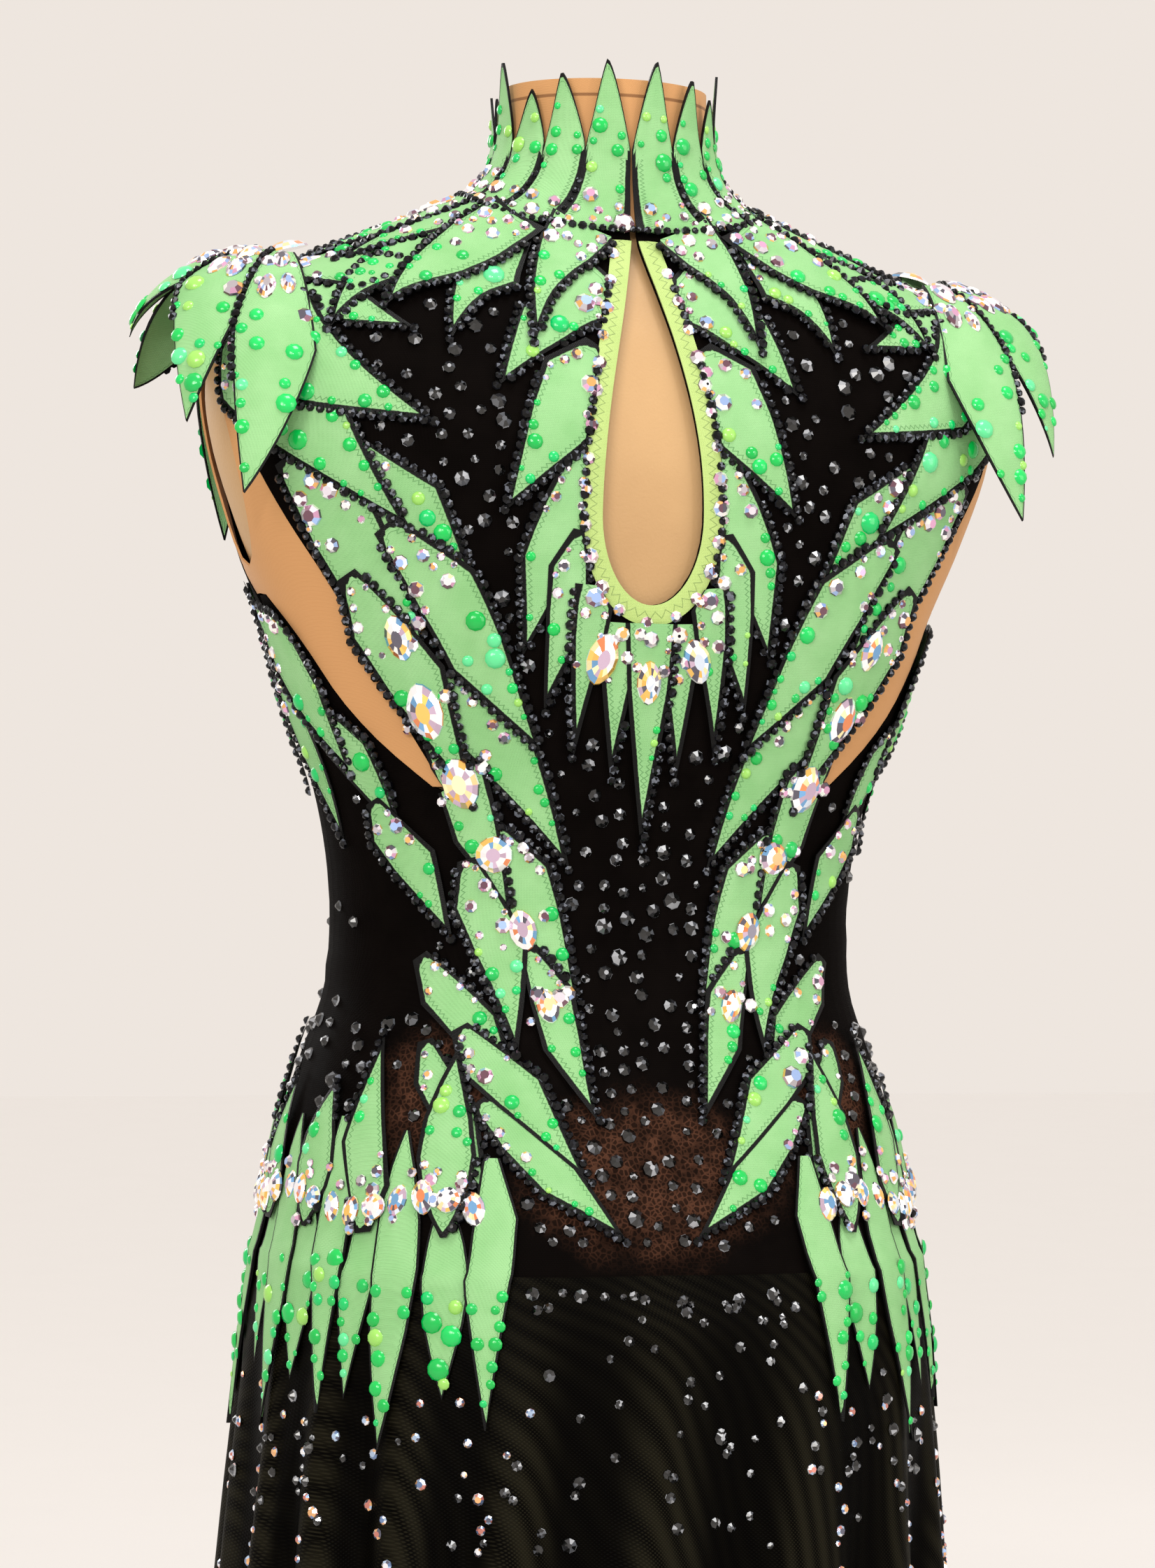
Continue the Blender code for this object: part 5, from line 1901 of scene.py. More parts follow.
@dataclass
class SewnLeaves:
    """The leaves sewn flat to the bodice, zone by zone, each zone mirrored about the back's centre.

    A row of a zone is (root, tip, half width, bow, shape, layer). The root and tip are by turn and station,
    or in the zones that are laid as seen from behind, by millimetres from the centre and height.
    """

    gap: float = 0.0003
    keyhole: tuple[tuple, ...] = (
        ((18, 1.324), (70, 1.268), 0.0170, 0.002, KITE, 1),
        ((24, 1.288), (67, 1.214), 0.0180, 0.002, SHARD, 2),
        ((32, 1.246), (57, 1.150), 0.0155, 0.001, KITE, 1),
        ((33, 1.206), (46, 1.126), 0.0115, 0.0, SHARD, 2),
        ((26, 1.182), (32, 1.106), 0.0095, 0.0, SPIKE, 3),
        ((13, 1.166), (15, 1.096), 0.0095, 0.0, SPIKE, 2),
    )
    centre: tuple[tuple, ...] = (((0, 1.1660), (0, 1.066), 0.0120, 0.0, SPIKE, 3),)
    shoulders: tuple[tuple, ...] = (
        ((79.0, 1.334), (52, 1.372), 0.0150, 0.001, SHARD, 1),
        ((79.0, 1.332), (40, 1.340), 0.0160, -0.001, KITE, 3),
        ((78.0, 1.326), (35, 1.296), 0.0200, 0.001, SHARD, 2),
        ((76.0, 1.312), (32, 1.252), 0.0230, -0.001, KITE, 3),
        ((73.0, 1.296), (39, 1.206), 0.0230, 0.001, SHARD, 2),
        ((99.0, 1.334), (116, 1.378), 0.0130, 0.001, SHARD, 1),
        ((100.0, 1.330), (128, 1.345), 0.0140, -0.001, KITE, 2),
        ((103.0, 1.324), (131, 1.306), 0.0150, 0.001, SHARD, 1),
        ((106.0, 1.316), (127, 1.262), 0.0145, 0.0, KITE, 2),
    )
    blades: tuple[tuple, ...] = (
        ((52, 1.250), (28, 1.162), 0.0215, 0.001, SHARD, 0),
        ((61, 1.236), (40, 1.134), 0.0200, 0.002, KITE, 1),
        ((44, 1.206), (20, 1.108), 0.0180, 0.001, KITE, 2),
        ((54, 1.186), (35, 1.084), 0.0160, 0.001, SHARD, 3),
        ((38, 1.142), (15, 1.056), 0.0150, 0.001, SHARD, 0),
        ((43, 1.120), (28, 1.034), 0.0140, 0.0, KITE, 2),
    )
    sides: tuple[tuple, ...] = (
        ((90, 1.178), (66, 1.098), 0.0150, 0.001, TONGUE, 3),
        ((78, 1.140), (53, 1.066), 0.0130, 0.001, SHARD, 2),
        ((93, 1.160), (76, 1.066), 0.0140, 0.0, KITE, 1),
        ((61, 1.086), (42, 1.024), 0.0125, 0.0, SHARD, 3),
        ((106, 1.186), (97, 1.090), 0.0135, 0.0, SHARD, 2),
        ((115, 1.206), (115, 1.118), 0.0120, 0.0, KITE, 1),
    )
    waist: tuple[tuple, ...] = (
        ((66, 1.074), (28, 0.996), 0.0150, 0.001, KITE, 1),
        ((74, 1.060), (56, 0.972), 0.0140, 0.001, SHARD, 3),
        ((50, 1.020), (24, 0.944), 0.0120, 0.001, KITE, 2),
        ((92, 1.016), (50, 0.944), 0.0130, 0.002, SHARD, 0),
    )
    lower_back: tuple[tuple, ...] = (
        ((78, 0.984), (30, 0.918), 0.0135, 0.003, SHARD, 2),
        ((74, 0.952), (16, 0.894), 0.0135, 0.002, KITE, 1),
        ((92, 0.978), (72, 0.906), 0.0115, 0.002, SHARD, 0),
    )
    hip_turns: Row = (38.5, 55, 71, 86.5, 101.5, 116.5, 131, 145, 159)
    made: list[tuple[LeafCut, LeafGrid]] = field(default_factory=list)

    @staticmethod
    def seen(rows: Sequence[tuple]) -> list[LeafCut]:
        """The leaves of a zone that is laid as seen from behind."""
        return [LeafCut(*(FIGURE.back_place(x / 1000, z) for x, z in row[:2]), *row[2:]) for row in rows]

    @staticmethod
    def yoke() -> list[LeafCut]:
        """Leaves that hang from the collar's seam all round.

        Returns:
            The upper row's leaves, and then those that show between them.
        """
        cuts = []
        for i, turn in enumerate((15, 38, 60, 79, 99, 120, 143, 167)):
            root, back = float(FIGURE.neckline(turn)) - 0.001, max(0.0, math.cos(math.radians(turn)))
            tip = turn * (1 + 0.10 * back), root - (0.068 + 0.028 * back + 0.010 * math.sin(2.2 * i + 0.6))
            shape, bow = TONGUE if i % 2 else SPIKE, 0.002 * math.sin(1.7 * i)
            cuts.append(LeafCut((turn, root), tip, 0.0145 + 0.0015 * back, bow, shape, 4 + i % 2))
        for i, turn in enumerate((27.5, 48, 69.5, 89, 109.5, 131, 155)):
            root, back = float(FIGURE.neckline(turn)) - 0.014, max(0.0, math.cos(math.radians(turn)))
            tip = turn * (1 + 0.06 * back), root - (0.072 + 0.022 * back + 0.012 * math.sin(1.9 * i))
            cuts.append(LeafCut((turn, root), tip, 0.0150, layer=2 + i % 2))
        return cuts

    def hips(self) -> list[LeafCut]:
        """Leaves over the lower back, and those that stand up from the hip band all round.

        Returns:
            The leaves.
        """
        cuts = self.seen(self.lower_back)
        for i, turn in enumerate(self.hip_turns):
            tip = turn + 2.5 * math.sin(2.1 * i), 0.968 + 0.014 * math.sin(1.7 * i + 0.5)
            cuts.append(LeafCut((turn, 0.8945), tip, 0.0130, 0.0, SHARD if i % 2 else LANCE, 3 + i % 2))
        return cuts

    def sew(self, cut: LeafCut, leaf: LeafGrid) -> None:
        """Sews a leaf's stones, by its size.

        Args:
            cut: The leaf.
            leaf: Its grid.
        """
        size = float(leaf.uv[-1, 3, 1]) * cut.half_width / 0.0009
        if abs(cut.root[1] - 1.33) < 0.012 and cut.half_width > 0.0145:
            JEWELS.navettes.add_on(leaf, 0.17, 0.1, SEWN_WALL, 0.0042, 0.0082, 0.0046)
        if cut.shape is SPIKE and 1.15 < cut.root[1] < 1.20:
            JEWELS.crystals.add_on(leaf, 0.07, 0.0, SEWN_WALL, 0.0040)
            if not cut.root[0]:
                JEWELS.belt.add_on(leaf, 0.26, 0.0, SEWN_WALL, 0.0056, 0.0098, 0.0050)
        hidden: Hidden = lambda point: self.surface.hides(point, cut.layer)
        JEWELS.on_leaf(leaf, SEWN_WALL, round(5.2 * size), round(4.6 * size), hidden)
        hidden = lambda point: self.surface.hides(point, cut.layer, 0.0022)
        for side in (-1.0, 1.0) if cut.half_width > 0.0142 else (-1.0 if cut.layer % 2 else 1.0,):
            JEWELS.along_edge(leaf, side, 0.0023, 0.0004, 0.05, 1.0, hidden)

    def build(self, over: Sequence[tuple[LeafGrid, int]]) -> None:
        """Makes every zone, and then the stones of every leaf that shows.

        Args:
            over: The leaves that hang over the sewn ones, with their layers.
        """
        zones = (
            ("yoke_leaves", self.yoke(), (0.44, 0.24)),
            ("keyhole_leaves", self.seen(self.keyhole), (0.17, 0.17)),
            ("centre_petal", self.seen(self.centre), (0.03, 0.10)),
            ("shoulder_leaves", [LeafCut(*row) for row in self.shoulders], (0.34, 0.24)),
            ("shoulder_blade_leaves", [LeafCut(*row) for row in self.blades], (0.22, 0.18)),
            ("side_leaves", [LeafCut(*row) for row in self.sides], (0.22, 0.16)),
            ("waist_leaves", self.seen(self.waist), (0.16, 0.14)),
            ("hip_band_leaves", self.hips(), (0.34, 0.18)),
        )
        for name, cuts, flat in zones:
            whole = [*cuts, *(cut.mirrored() for cut in cuts if cut.root[0])]
            made = [(cut, cut.grid(BODICE_OUTSIDE + self.gap)) for cut in whole]
            self.made += made
            shells = [leaf.shell(SEWN_WALL) for _, leaf in made]
            Shell.joined(shells).cloth(name, Finishes.leaf, "", flat, "laid", BACK)
        self.surface = LeafField([*((leaf, cut.layer) for cut, leaf in self.made), *over])
        for cut, leaf in self.made:
            self.sew(cut, leaf)
        self.sew_seam()

    def sew_seam(self) -> None:
        """Scatters crystals up the collar's foot and down over the yoke's leaves, clear of the other stones."""
        chance = np.random.default_rng(57)
        placed = [*JEWELS.crystals.places, *JEWELS.cabochons.places]
        feet, sizes = [place[0] for place in placed], [place[3][0] for place in placed]
        for _ in range(2600):
            turn = float(chance.uniform(-172, 172))
            way = min(0.020, float(chance.normal(0.0, 0.017)))
            size = float(chance.uniform(0.0022, 0.0040))
            ground, facing = FIGURE.seat(turn, float(FIGURE.neckline(turn)) + way, BODICE_OUTSIDE, creased=True)
            if way > 0:
                rise, clear = Collar.lift + Collar.wall - BODICE_OUTSIDE, 0.009
            else:
                rise, clear = self.surface.top(ground, facing, 0.0030) + SEWN_WALL, 0.015
            if abs(way) < 0.0045 or rise <= SEWN_WALL or abs(ground[0]) < clear:
                continue
            foot = ground + facing * rise
            apart = np.linalg.norm(np.array(feet) - foot, axis=1) > np.array(sizes) + size + 0.0005
            if JEWELS.free(foot) and apart.all():
                feet.append(foot)
                sizes.append(size)
                JEWELS.crystals.add(foot, facing, UP, size)


@dataclass
class Skirt:
    """The black net skirt: fluted from the hip seam to its hem, with uneven folds between.

    A level cut is (height, half width, back, front).
    """

    hang: tuple[Row, ...] = (
        (0.600, 0.1730, 0.162, 0.139),
        (0.670, 0.1675, 0.158, 0.130),
        (0.740, 0.1625, 0.153, 0.120),
        (0.800, 0.1590, 0.149, 0.111),
        (0.840, 0.1565, 0.145, 0.105),
        (0.880, 0.1525, 0.1385, 0.1005),
    )
    squareness: float = 2.3
    flutes: int = 20
    crowding: float = 3.4
    depth: float = 0.013
    wall: float = 0.0012
    draw_in: float = 0.024
    columns: int = 440
    rows: int = 52

    def __post_init__(self) -> None:
        """Fits the level cuts."""
        columns = list(zip(*self.hang))
        self.half_width, self.back, self.front = (SmoothLine(columns[0], column) for column in columns[1:])

    def point(self, turn: Array, height: Array) -> Array:
        """The skirt without its flutes.

        Args:
            turn: The turns.
            height: The heights.

        Returns:
            The points.
        """
        angle = np.radians(turn)
        across = np.abs(np.sin(angle))
        depth = np.clip(1 - across**self.squareness, 0, 1) ** (1 / self.squareness)
        y = np.where(np.cos(angle) >= 0, -self.back(height), self.front(height)) * depth
        return np.stack([self.half_width(height) * np.sin(angle), y, height + 0 * angle], axis=-1)

    def outward(self, turn: Array, height: Array) -> Array:
        """The outward direction of the skirt without its flutes.

        Args:
            turn: The turns.
            height: The heights.

        Returns:
            The directions.
        """
        round_it = self.point(turn + 0.6, height) - self.point(turn - 0.6, height)
        up_it = self.point(turn, height + 0.004) - self.point(turn, height - 0.004)
        return unit(np.cross(round_it, up_it))

    def phase(self, turn: Array) -> Array:
        """The flutes' phase, slower at the back's and front's middles."""
        angle = np.radians(turn)
        return self.flutes * angle - self.crowding * np.sin(2 * angle) + 0.55 * np.sin(3 * angle + 0.7)

    def down(self, height: Array, start: float) -> Array:
        """The share of the way down to the hem, from a start that far under the seam."""
        return np.clip((HIP_SEAM - start - height) / (HIP_SEAM - HEM), 0, 1)

    def depth_at(self, height: Array) -> Array:
        """How deep the flutes are."""
        return self.depth * self.down(height, 0.012) ** 1.25

    def wave(self, turn: Array, height: Array) -> Array:
        """How far the folds stand out of the plain skirt.

        Args:
            turn: The turns.
            height: The heights.

        Returns:
            The heights of the folds.
        """
        phase, angle = self.phase(turn), np.radians(turn)
        share = self.down(height, 0.006)
        ripple = 0.0016 * np.sin(2 * phase + 1.3 * np.sin(5 * angle) + 9 * share)
        fold = 0.0022 * np.sin(0.5 * phase + 2.1 * np.sin(2 * angle + 0.4) + 4 * share)
        return np.cos(phase) * self.depth_at(height) + (ripple + fold) * share**0.8

    def over(self, turn: Array | float, height: Array | float, lift: float) -> Array:
        """Points off the skirt's outer face, folds included.

        Args:
            turn: The turns.
            height: The heights.
            lift: How far off they lie.

        Returns:
            The points.
        """
        turn, height = np.asarray(turn, float), np.asarray(height, float)
        off = self.wave(turn, height) + self.wall + lift
        hung = self.point(turn, height) + self.outward(turn, height) * off[..., None]
        share = np.clip((height - HIP_SEAM) / self.draw_in + 1, 0, 1)[..., None]
        sewn = FIGURE.over(turn, np.minimum(height, HIP_SEAM), FIT + 0.0013 + self.wall + lift)
        return hung + (sewn - hung) * share**2 * (3 - 2 * share)

    def build(self) -> None:
        """Makes the skirt."""
        fine = np.linspace(0, 360, 3601)
        steps = np.linspace(0, 2 * math.pi * self.flutes, self.columns, endpoint=False)
        turns = np.interp(steps + self.phase(np.array(0.0)), self.phase(fine), fine)
        heights = HEM + (HIP_SEAM - 0.0005 - HEM) * np.linspace(0, 1, self.rows) ** 0.94
        rows = [self.over(turns, np.full(self.columns, height), -self.wall) for height in heights]
        # painted light and shade of the flutes, kept in the map's first way: 1 on the crests, 0 in the troughs, weaker
        # near the seam
        painted_fold_light = 0.5 + 0.5 * np.cos(self.phase(turns)) * np.clip((HIP_SEAM - heights[:, None]) / 0.12, 0.15, 1)
        net = Shell.grid(rows, np.stack([painted_fold_light, spread(heights, self.columns)], axis=-1), closed=True)
        net.walled(self.wall).cloth("net_skirt", Finishes.skirt, "skirt", (1.20, 0.285), "gathered", BACK, FRONT)


SKIRT = Skirt()


@dataclass
class HipLeaves:
    """The leaves that hang from the hip over the skirt, ten to a side, with the belt of stones across them."""

    turns: Row = (30.0, 47.0, 63.0, 78.5, 94.0, 109.0, 123.5, 138.0, 152.0, 166.0)
    half_width: float = 0.0115
    hung_lift: float = 0.0008
    flat_lift: float = 0.0001
    belt_rows: Row = (0.0, 0.0105, -0.0100, 0.0180)
    belt_height: float = 0.9070
    trail_stones: int = 16

    def __post_init__(self) -> None:
        """Lays out the leaves."""
        self.spots = [(i, turn, sign) for sign in (1, -1) for i, turn in enumerate(self.turns)]
        self.hung = [self.leaf(*spot) for spot in self.spots]
        between = [*((a + b) / 2 for a, b in zip(self.turns, self.turns[1:])), 174.0]
        self.flat = [self.leaf(i, turn, sign, flat=True) for sign in (1, -1) for i, turn in enumerate(between, 3)]
        self.all = [*((leaf, 9) for leaf in self.hung), *((leaf, 8) for leaf in self.flat)]

    def place(self, turn: Array, height: Array, lift: float) -> Array:
        """Points over the bodice above the seam, and over the skirt's flutes below it.

        Args:
            turn: The turns.
            height: The heights.
            lift: How far off the cloth they lie.

        Returns:
            The points.
        """
        low, off = np.minimum(height, HIP_SEAM), SKIRT.depth_at(height) + SKIRT.wall + lift
        bodice = FIGURE.over(turn, height, BODICE_OUTSIDE + lift)
        skirt = SKIRT.point(turn, low) + SKIRT.outward(turn, low) * off[..., None]
        share = np.clip((HIP_SEAM + 0.014 - height) / 0.013, 0, 1)[..., None]
        return bodice * (1 - share) + skirt * share

    def leaf(self, i: int, turn: float, sign: int, flat: bool = False) -> LeafGrid:
        """One leaf, a shorter one where it lies flat.

        Args:
            i: Its number, which varies its shape.
            turn: Its turn.
            sign: 1 for the right side, -1 for the left.
            flat: Whether it lies flat.

        Returns:
            The leaf's grid.
        """
        long = 0.5 + 0.5 * math.sin(math.radians(turn))
        tip = 0.846 - 0.040 * long - 0.010 * math.sin(2.1 * i)
        root = 0.934 - 0.012 * math.cos(math.radians(2 * turn)) + 0.004 * math.sin(1.3 * i)
        if flat:
            root, tip = 0.912, tip + 0.018 + 0.008 * math.sin(3.3 * i)
        shares = np.linspace(0, 1, 19)
        height = root - (root - tip) * shares
        middle = turn + 1.6 * math.sin(1.9 * i) * shares
        around = np.linalg.norm(FIGURE.point(middle + 0.5, height) - FIGURE.point(middle - 0.5, height), axis=-1)
        half = (LANCE if i % 2 else SHARD).halves(shares, self.half_width)
        turns = (middle[:, None] + half / around[:, None] * LEAF_SIDES) * sign
        heights = spread(height, len(LEAF_SIDES))
        points = self.place(turns, heights, self.flat_lift if flat else self.hung_lift)
        facing = unit(FIGURE.outward(turns, heights) * [1, 1, 0.2])
        if not flat:
            curl = 0.0006 * (1 - np.abs(LEAF_SIDES) ** 3) * np.clip(half / 0.008, 0, 1)
            curl = curl + 0.0012 * shares[:, None] ** 3 * (0.4 + np.sin(3.1 * i + 2 * LEAF_SIDES))
            points = points + facing * np.maximum(curl, 0)[..., None]
        from_edge = half * (1 - np.abs(LEAF_SIDES)) * FREE_LEAF_MAP * (1 + shares[:, None] ** 9)
        uv = np.stack([from_edge, spread(root - height, len(LEAF_SIDES))], axis=-1)
        return LeafGrid(points, facing, uv, shares, LEAF_SIDES)

    def build(self, sewn: Sequence[tuple[LeafGrid, int]]) -> None:
        """Makes the leaves, the belt of stones across their roots and the trails below their tips.

        Args:
            sewn: The leaves that are sewn flat, with their layers.
        """
        above = LeafField(self.all)
        for number, (leaf, (_, turn, sign)) in enumerate(zip(self.hung, self.spots), 1):
            name = f"hip_leaf_{number:02d}"
            shell = leaf.shell(HUNG_WALL)
            shell.cloth(f"hanging_{name}", Finishes.leaf, name, (0.024, 0.11), "hung", BACK, "net_skirt")
            JEWELS.on_leaf(leaf, HUNG_WALL, cabochons=10, crystals=0)
            self.trail(leaf, turn * sign, above)
        shell = Shell.joined([leaf.shell(SEWN_WALL) for leaf in self.flat])
        shell.cloth("flat_hip_leaves", Finishes.leaf, "", (0.44, 0.085), "laid", "net_skirt", BACK)
        for leaf in self.flat:
            JEWELS.on_leaf(leaf, SEWN_WALL, 7, 0, lambda point: above.hides(point, 8, 0.004))
        self.belt(LeafField([*sewn, *self.all]))

    def belt(self, leaves: LeafField) -> None:
        """Sews the belt: large crystals at even steps round the hip, with small ones between and beside them.

        Args:
            leaves: Every leaf near the belt.
        """
        for step, sign, (row, rise) in product(range(27), (-1, 1), enumerate(self.belt_rows)):
            if row and JEWELS.chance.random() < 0.25 * row - 0.1:
                continue
            turn = sign * (33.0 + 5.0 * step + 2.4 * row + JEWELS.draw(-0.7, 0.7))
            height = self.belt_height + rise + 0.004 * math.sin(0.9 * step) + JEWELS.draw(-0.001, 0.001)
            ground, facing = FIGURE.seat(turn, height, BODICE_OUTSIDE)
            foot = ground + facing * (leaves.top(ground, facing) + HUNG_WALL * 0.8)
            if row:
                JEWELS.crystals.add(foot, facing, UP, JEWELS.draw(0.0019, 0.0032))
            elif step % 3 == 1:
                JEWELS.belt.add(foot, facing, UP, 0.0062, height=0.0046)
            else:
                lean = np.array((0.25 * sign * (-1) ** step, 0.0, 1.0))
                JEWELS.belt.add(foot, facing, lean, 0.0050, 0.0078, 0.0046)

    def trail(self, leaf: LeafGrid, turn: float, above: LeafField) -> None:
        """Scatters small stones down the skirt under a leaf, clear of the leaves.

        Args:
            leaf: The leaf.
            turn: Its turn.
            above: All the leaves over the skirt.
        """
        tip = float(leaf.points[-1, 3, 2])
        for k in range(self.trail_stones):
            height = tip + 0.034 - (0.012 + 0.0085 * k + JEWELS.draw(-0.003, 0.003))
            spot = turn + float(JEWELS.chance.normal(0, 1.1)) + (4.5 if k < 6 else 0.0) * (-1) ** k
            facing = SKIRT.outward(np.array(spot), np.array(height))
            size, foot = JEWELS.draw(0.0016, 0.0027), SKIRT.over(spot, height, 0.0001)
            if above.near(foot) > 0.007:
                JEWELS.skirt.add(foot, facing, UP, size)


@dataclass
class ShoulderCaps:
    """The leaves that fan out from each shoulder's point."""

    root: Row = (0.1503, -0.006, 1.3341)
    leaves: int = 5
    spread: float = 37.0
    bend: float = 78.0
    navettes: tuple[Row, ...] = ((0.10, 0.0, 0.0085), (0.26, -0.34, 0.0070), (0.30, 0.36, 0.0074))

    def point(self, share: Array, heading: Array) -> Array:
        """The right cap's surface, an umbrella from the shoulder's point.

        Args:
            share: The shares of the way from the point to the umbrella's rim.
            heading: The headings, in degrees from straight out.

        Returns:
            The points.
        """
        to_side = np.sin(np.radians(heading)) ** 2
        reach, drop = 0.070 + 0.010 * to_side, 0.040 + 0.090 * to_side
        full = math.radians(self.bend)
        out = reach * np.sin(full * share) / math.sin(full)
        down = drop * (1 - np.cos(full * share)) / (1 - math.cos(full))
        x = self.root[0] + out * np.cos(np.radians(heading))
        y = self.root[1] + out * np.sin(np.radians(heading))
        return np.stack([x, y, self.root[2] - down], axis=-1)

    def leaf(self, i: int, sign: int) -> LeafGrid:
        """One cap leaf.

        Args:
            i: Its number, from the front.
            sign: 1 for the right shoulder, -1 for the left.

        Returns:
            The leaf's grid.
        """
        heading = self.spread * (i - (self.leaves - 1) / 2)
        shares, sides = np.linspace(0, 1, 22), np.linspace(-1, 1, 13)
        reach = 0.16 + 0.84 * shares
        narrowing = np.minimum(1.0, (1.0 - reach) / 0.40)
        half = (self.spread / 2 - 0.35 / reach) * narrowing + 0.25
        skew = (1.0 - narrowing) * self.spread * 0.20 * (-1) ** i
        headings = heading + skew[:, None] + half[:, None] * sides
        points = self.point(spread(reach, len(sides)), headings)
        facing = unit(np.cross(np.gradient(points, axis=1), np.gradient(points, axis=0)))
        facing *= np.sign(facing[..., 2:].mean() or 1.0)
        puff = 0.0011 * np.sin(math.pi * shares)[:, None] * (1 - sides**2)
        points = points + facing * puff[..., None]
        points[..., 0] *= sign
        facing[..., 0] *= sign
        width = np.linalg.norm(points[:, -1] - points[:, 0], axis=-1)[:, None] / 2
        uv = np.stack([width * (1 - np.abs(sides)) * FREE_LEAF_MAP, 0.075 * spread(shares, len(sides))], axis=-1)
        return LeafGrid(points, facing, uv, shares, sides)

    def build(self) -> None:
        """Makes both caps and their stones."""
        for side, sign in (("right", 1), ("left", -1)):
            apex = np.array((self.root[0] * sign, self.root[1], self.root[2] + 0.0004))
            lean = unit(np.array((0.25 * sign, 0.0, 1.0)))
            JEWELS.belt.add(apex, lean, np.array((0.0, 1.0, 0.0)), 0.0088, height=0.0062)
            for i in range(self.leaves):
                leaf, name = self.leaf(i, sign), f"{side}_{i + 1}"
                shell = leaf.shell(HUNG_WALL)
                shell.cloth(f"shoulder_leaf_{name}", Finishes.leaf, f"cap_{name}", (0.052, 0.095), "hung", BACK, FRONT)
                JEWELS.on_leaf(leaf, HUNG_WALL, cabochons=12, crystals=5)
                if i < self.leaves - 1:
                    JEWELS.along_edge(leaf, 1.0, 0.0021, HUNG_WALL, 0.0, 0.70)
                for share, aside, long in self.navettes:
                    JEWELS.navettes.add_on(leaf, share, aside, HUNG_WALL, 0.52 * long, long, 0.0046)


@dataclass
class LargeStones:
    """The largest stones of the back, in mirrored pairs, as (turn, height, lean, half length, half width)."""

    stones: tuple[Row, ...] = (
        (46.0, 1.158, 16.0, 0.0110, 0.0065),
        (42.5, 1.126, 16.0, 0.0115, 0.0070),
        (37.5, 1.094, 18.0, 0.0110, 0.0075),
        (31.5, 1.062, 0.0, 0.0090, 0.0090),
        (25.5, 1.028, 16.0, 0.0105, 0.0070),
        (20.0, 0.994, 16.0, 0.0095, 0.0060),
        (8.5, 1.150, -16.0, 0.0115, 0.0070),
    )
    beside: tuple[Row, ...] = ((1.0, 0.35, 0.0034), (-1.0, -0.5, 0.0026))

    def build(self) -> None:
        """Adds the stones to their bag, each with two crystals beside it."""
        for sign, (turn, height, lean, half_length, half_width) in product((1, -1), self.stones):
            station = float(FIGURE.station_of_height(height))
            foot, facing = FIGURE.seat(turn * sign, station, BODICE_OUTSIDE + 0.0022, creased=True)
            across = unit(np.cross(UP, facing))
            angle = math.radians(lean * sign)
            along = np.cross(facing, across) * math.cos(angle) + across * math.sin(angle)
            JEWELS.large.add(foot, facing, along, half_width, half_length, 0.0072)
            for aside, ahead, size in self.beside:
                off = np.cross(along, facing) * aside * (half_width + size + 0.0006) + along * ahead * half_length
                JEWELS.crystals.add(foot + off - facing * 0.0006, facing, along, size)


@dataclass
class LooseJets:
    """Jets scattered over the black of the back, and more thinly over the front and the upper skirt."""

    spacing: float = 0.0080
    from_leaf: float = 0.0052
    tries: int = 12000
    skirt_tries: int = 420

    def kept_out(self, turn: float, station: float, point: Array, leaves: LeafField) -> bool:
        """Whether a jet can't lie at a place.

        Args:
            turn: The place's turn.
            station: Its station.
            point: The place as a point.
            leaves: The leaves sewn to the bodice.

        Returns:
            Whether it is over an open strip, the keyhole or a leaf.
        """
        beside = abs(point[0]) < float(KEYHOLE.half_width_at(float(point[2]))) + 0.013
        keyhole = abs(turn) < 70 and point[2] > KEYHOLE.bottom - 0.012 and beside
        strip = FIGURE.inner(station) - 3 < abs(turn) < 112 and station > 1.088
        return strip or keyhole or leaves.near(point) < self.from_leaf

    def build(self, leaves: LeafField) -> None:
        """Scatters the jets clear of the leaves, the keyhole and the open strips.

        Args:
            leaves: The leaves sewn to the bodice.
        """
        chance = np.random.default_rng(41)
        kept: list[Array] = []
        for _ in range(self.tries):
            turn, station = float(chance.uniform(-180, 180)), float(chance.uniform(HIP_SEAM + 0.010, 1.37))
            dense = 1.0 if abs(turn) < 34 else 0.55 if abs(turn) < 70 else 0.16
            if 0.985 < station < 1.085 and abs(turn) > 44:
                dense = 0.03
            if chance.random() > dense or station > float(FIGURE.neckline(turn)) - 0.01:
                continue
            point, facing = FIGURE.seat(turn, station, BODICE_OUTSIDE, creased=True)
            if self.kept_out(turn, station, point, leaves):
                continue
            if all(np.linalg.norm(point - other) >= self.spacing for other in kept):
                kept.append(point)
                JEWELS.jets.add(point, facing, np.array((0.1, 0.0, 1.0)), float(chance.uniform(0.0021, 0.0037)))
        for _ in range(self.skirt_tries):
            turn, height = float(chance.uniform(-180, 180)), 0.874 - 0.11 * float(chance.random()) ** 1.6
            facing, foot = SKIRT.outward(np.array(turn), np.array(height)), SKIRT.over(turn, height, 0.0)
            if leaves.near(foot) >= 0.008:
                JEWELS.jets.add(foot, facing, UP, float(chance.uniform(0.0017, 0.0030)))


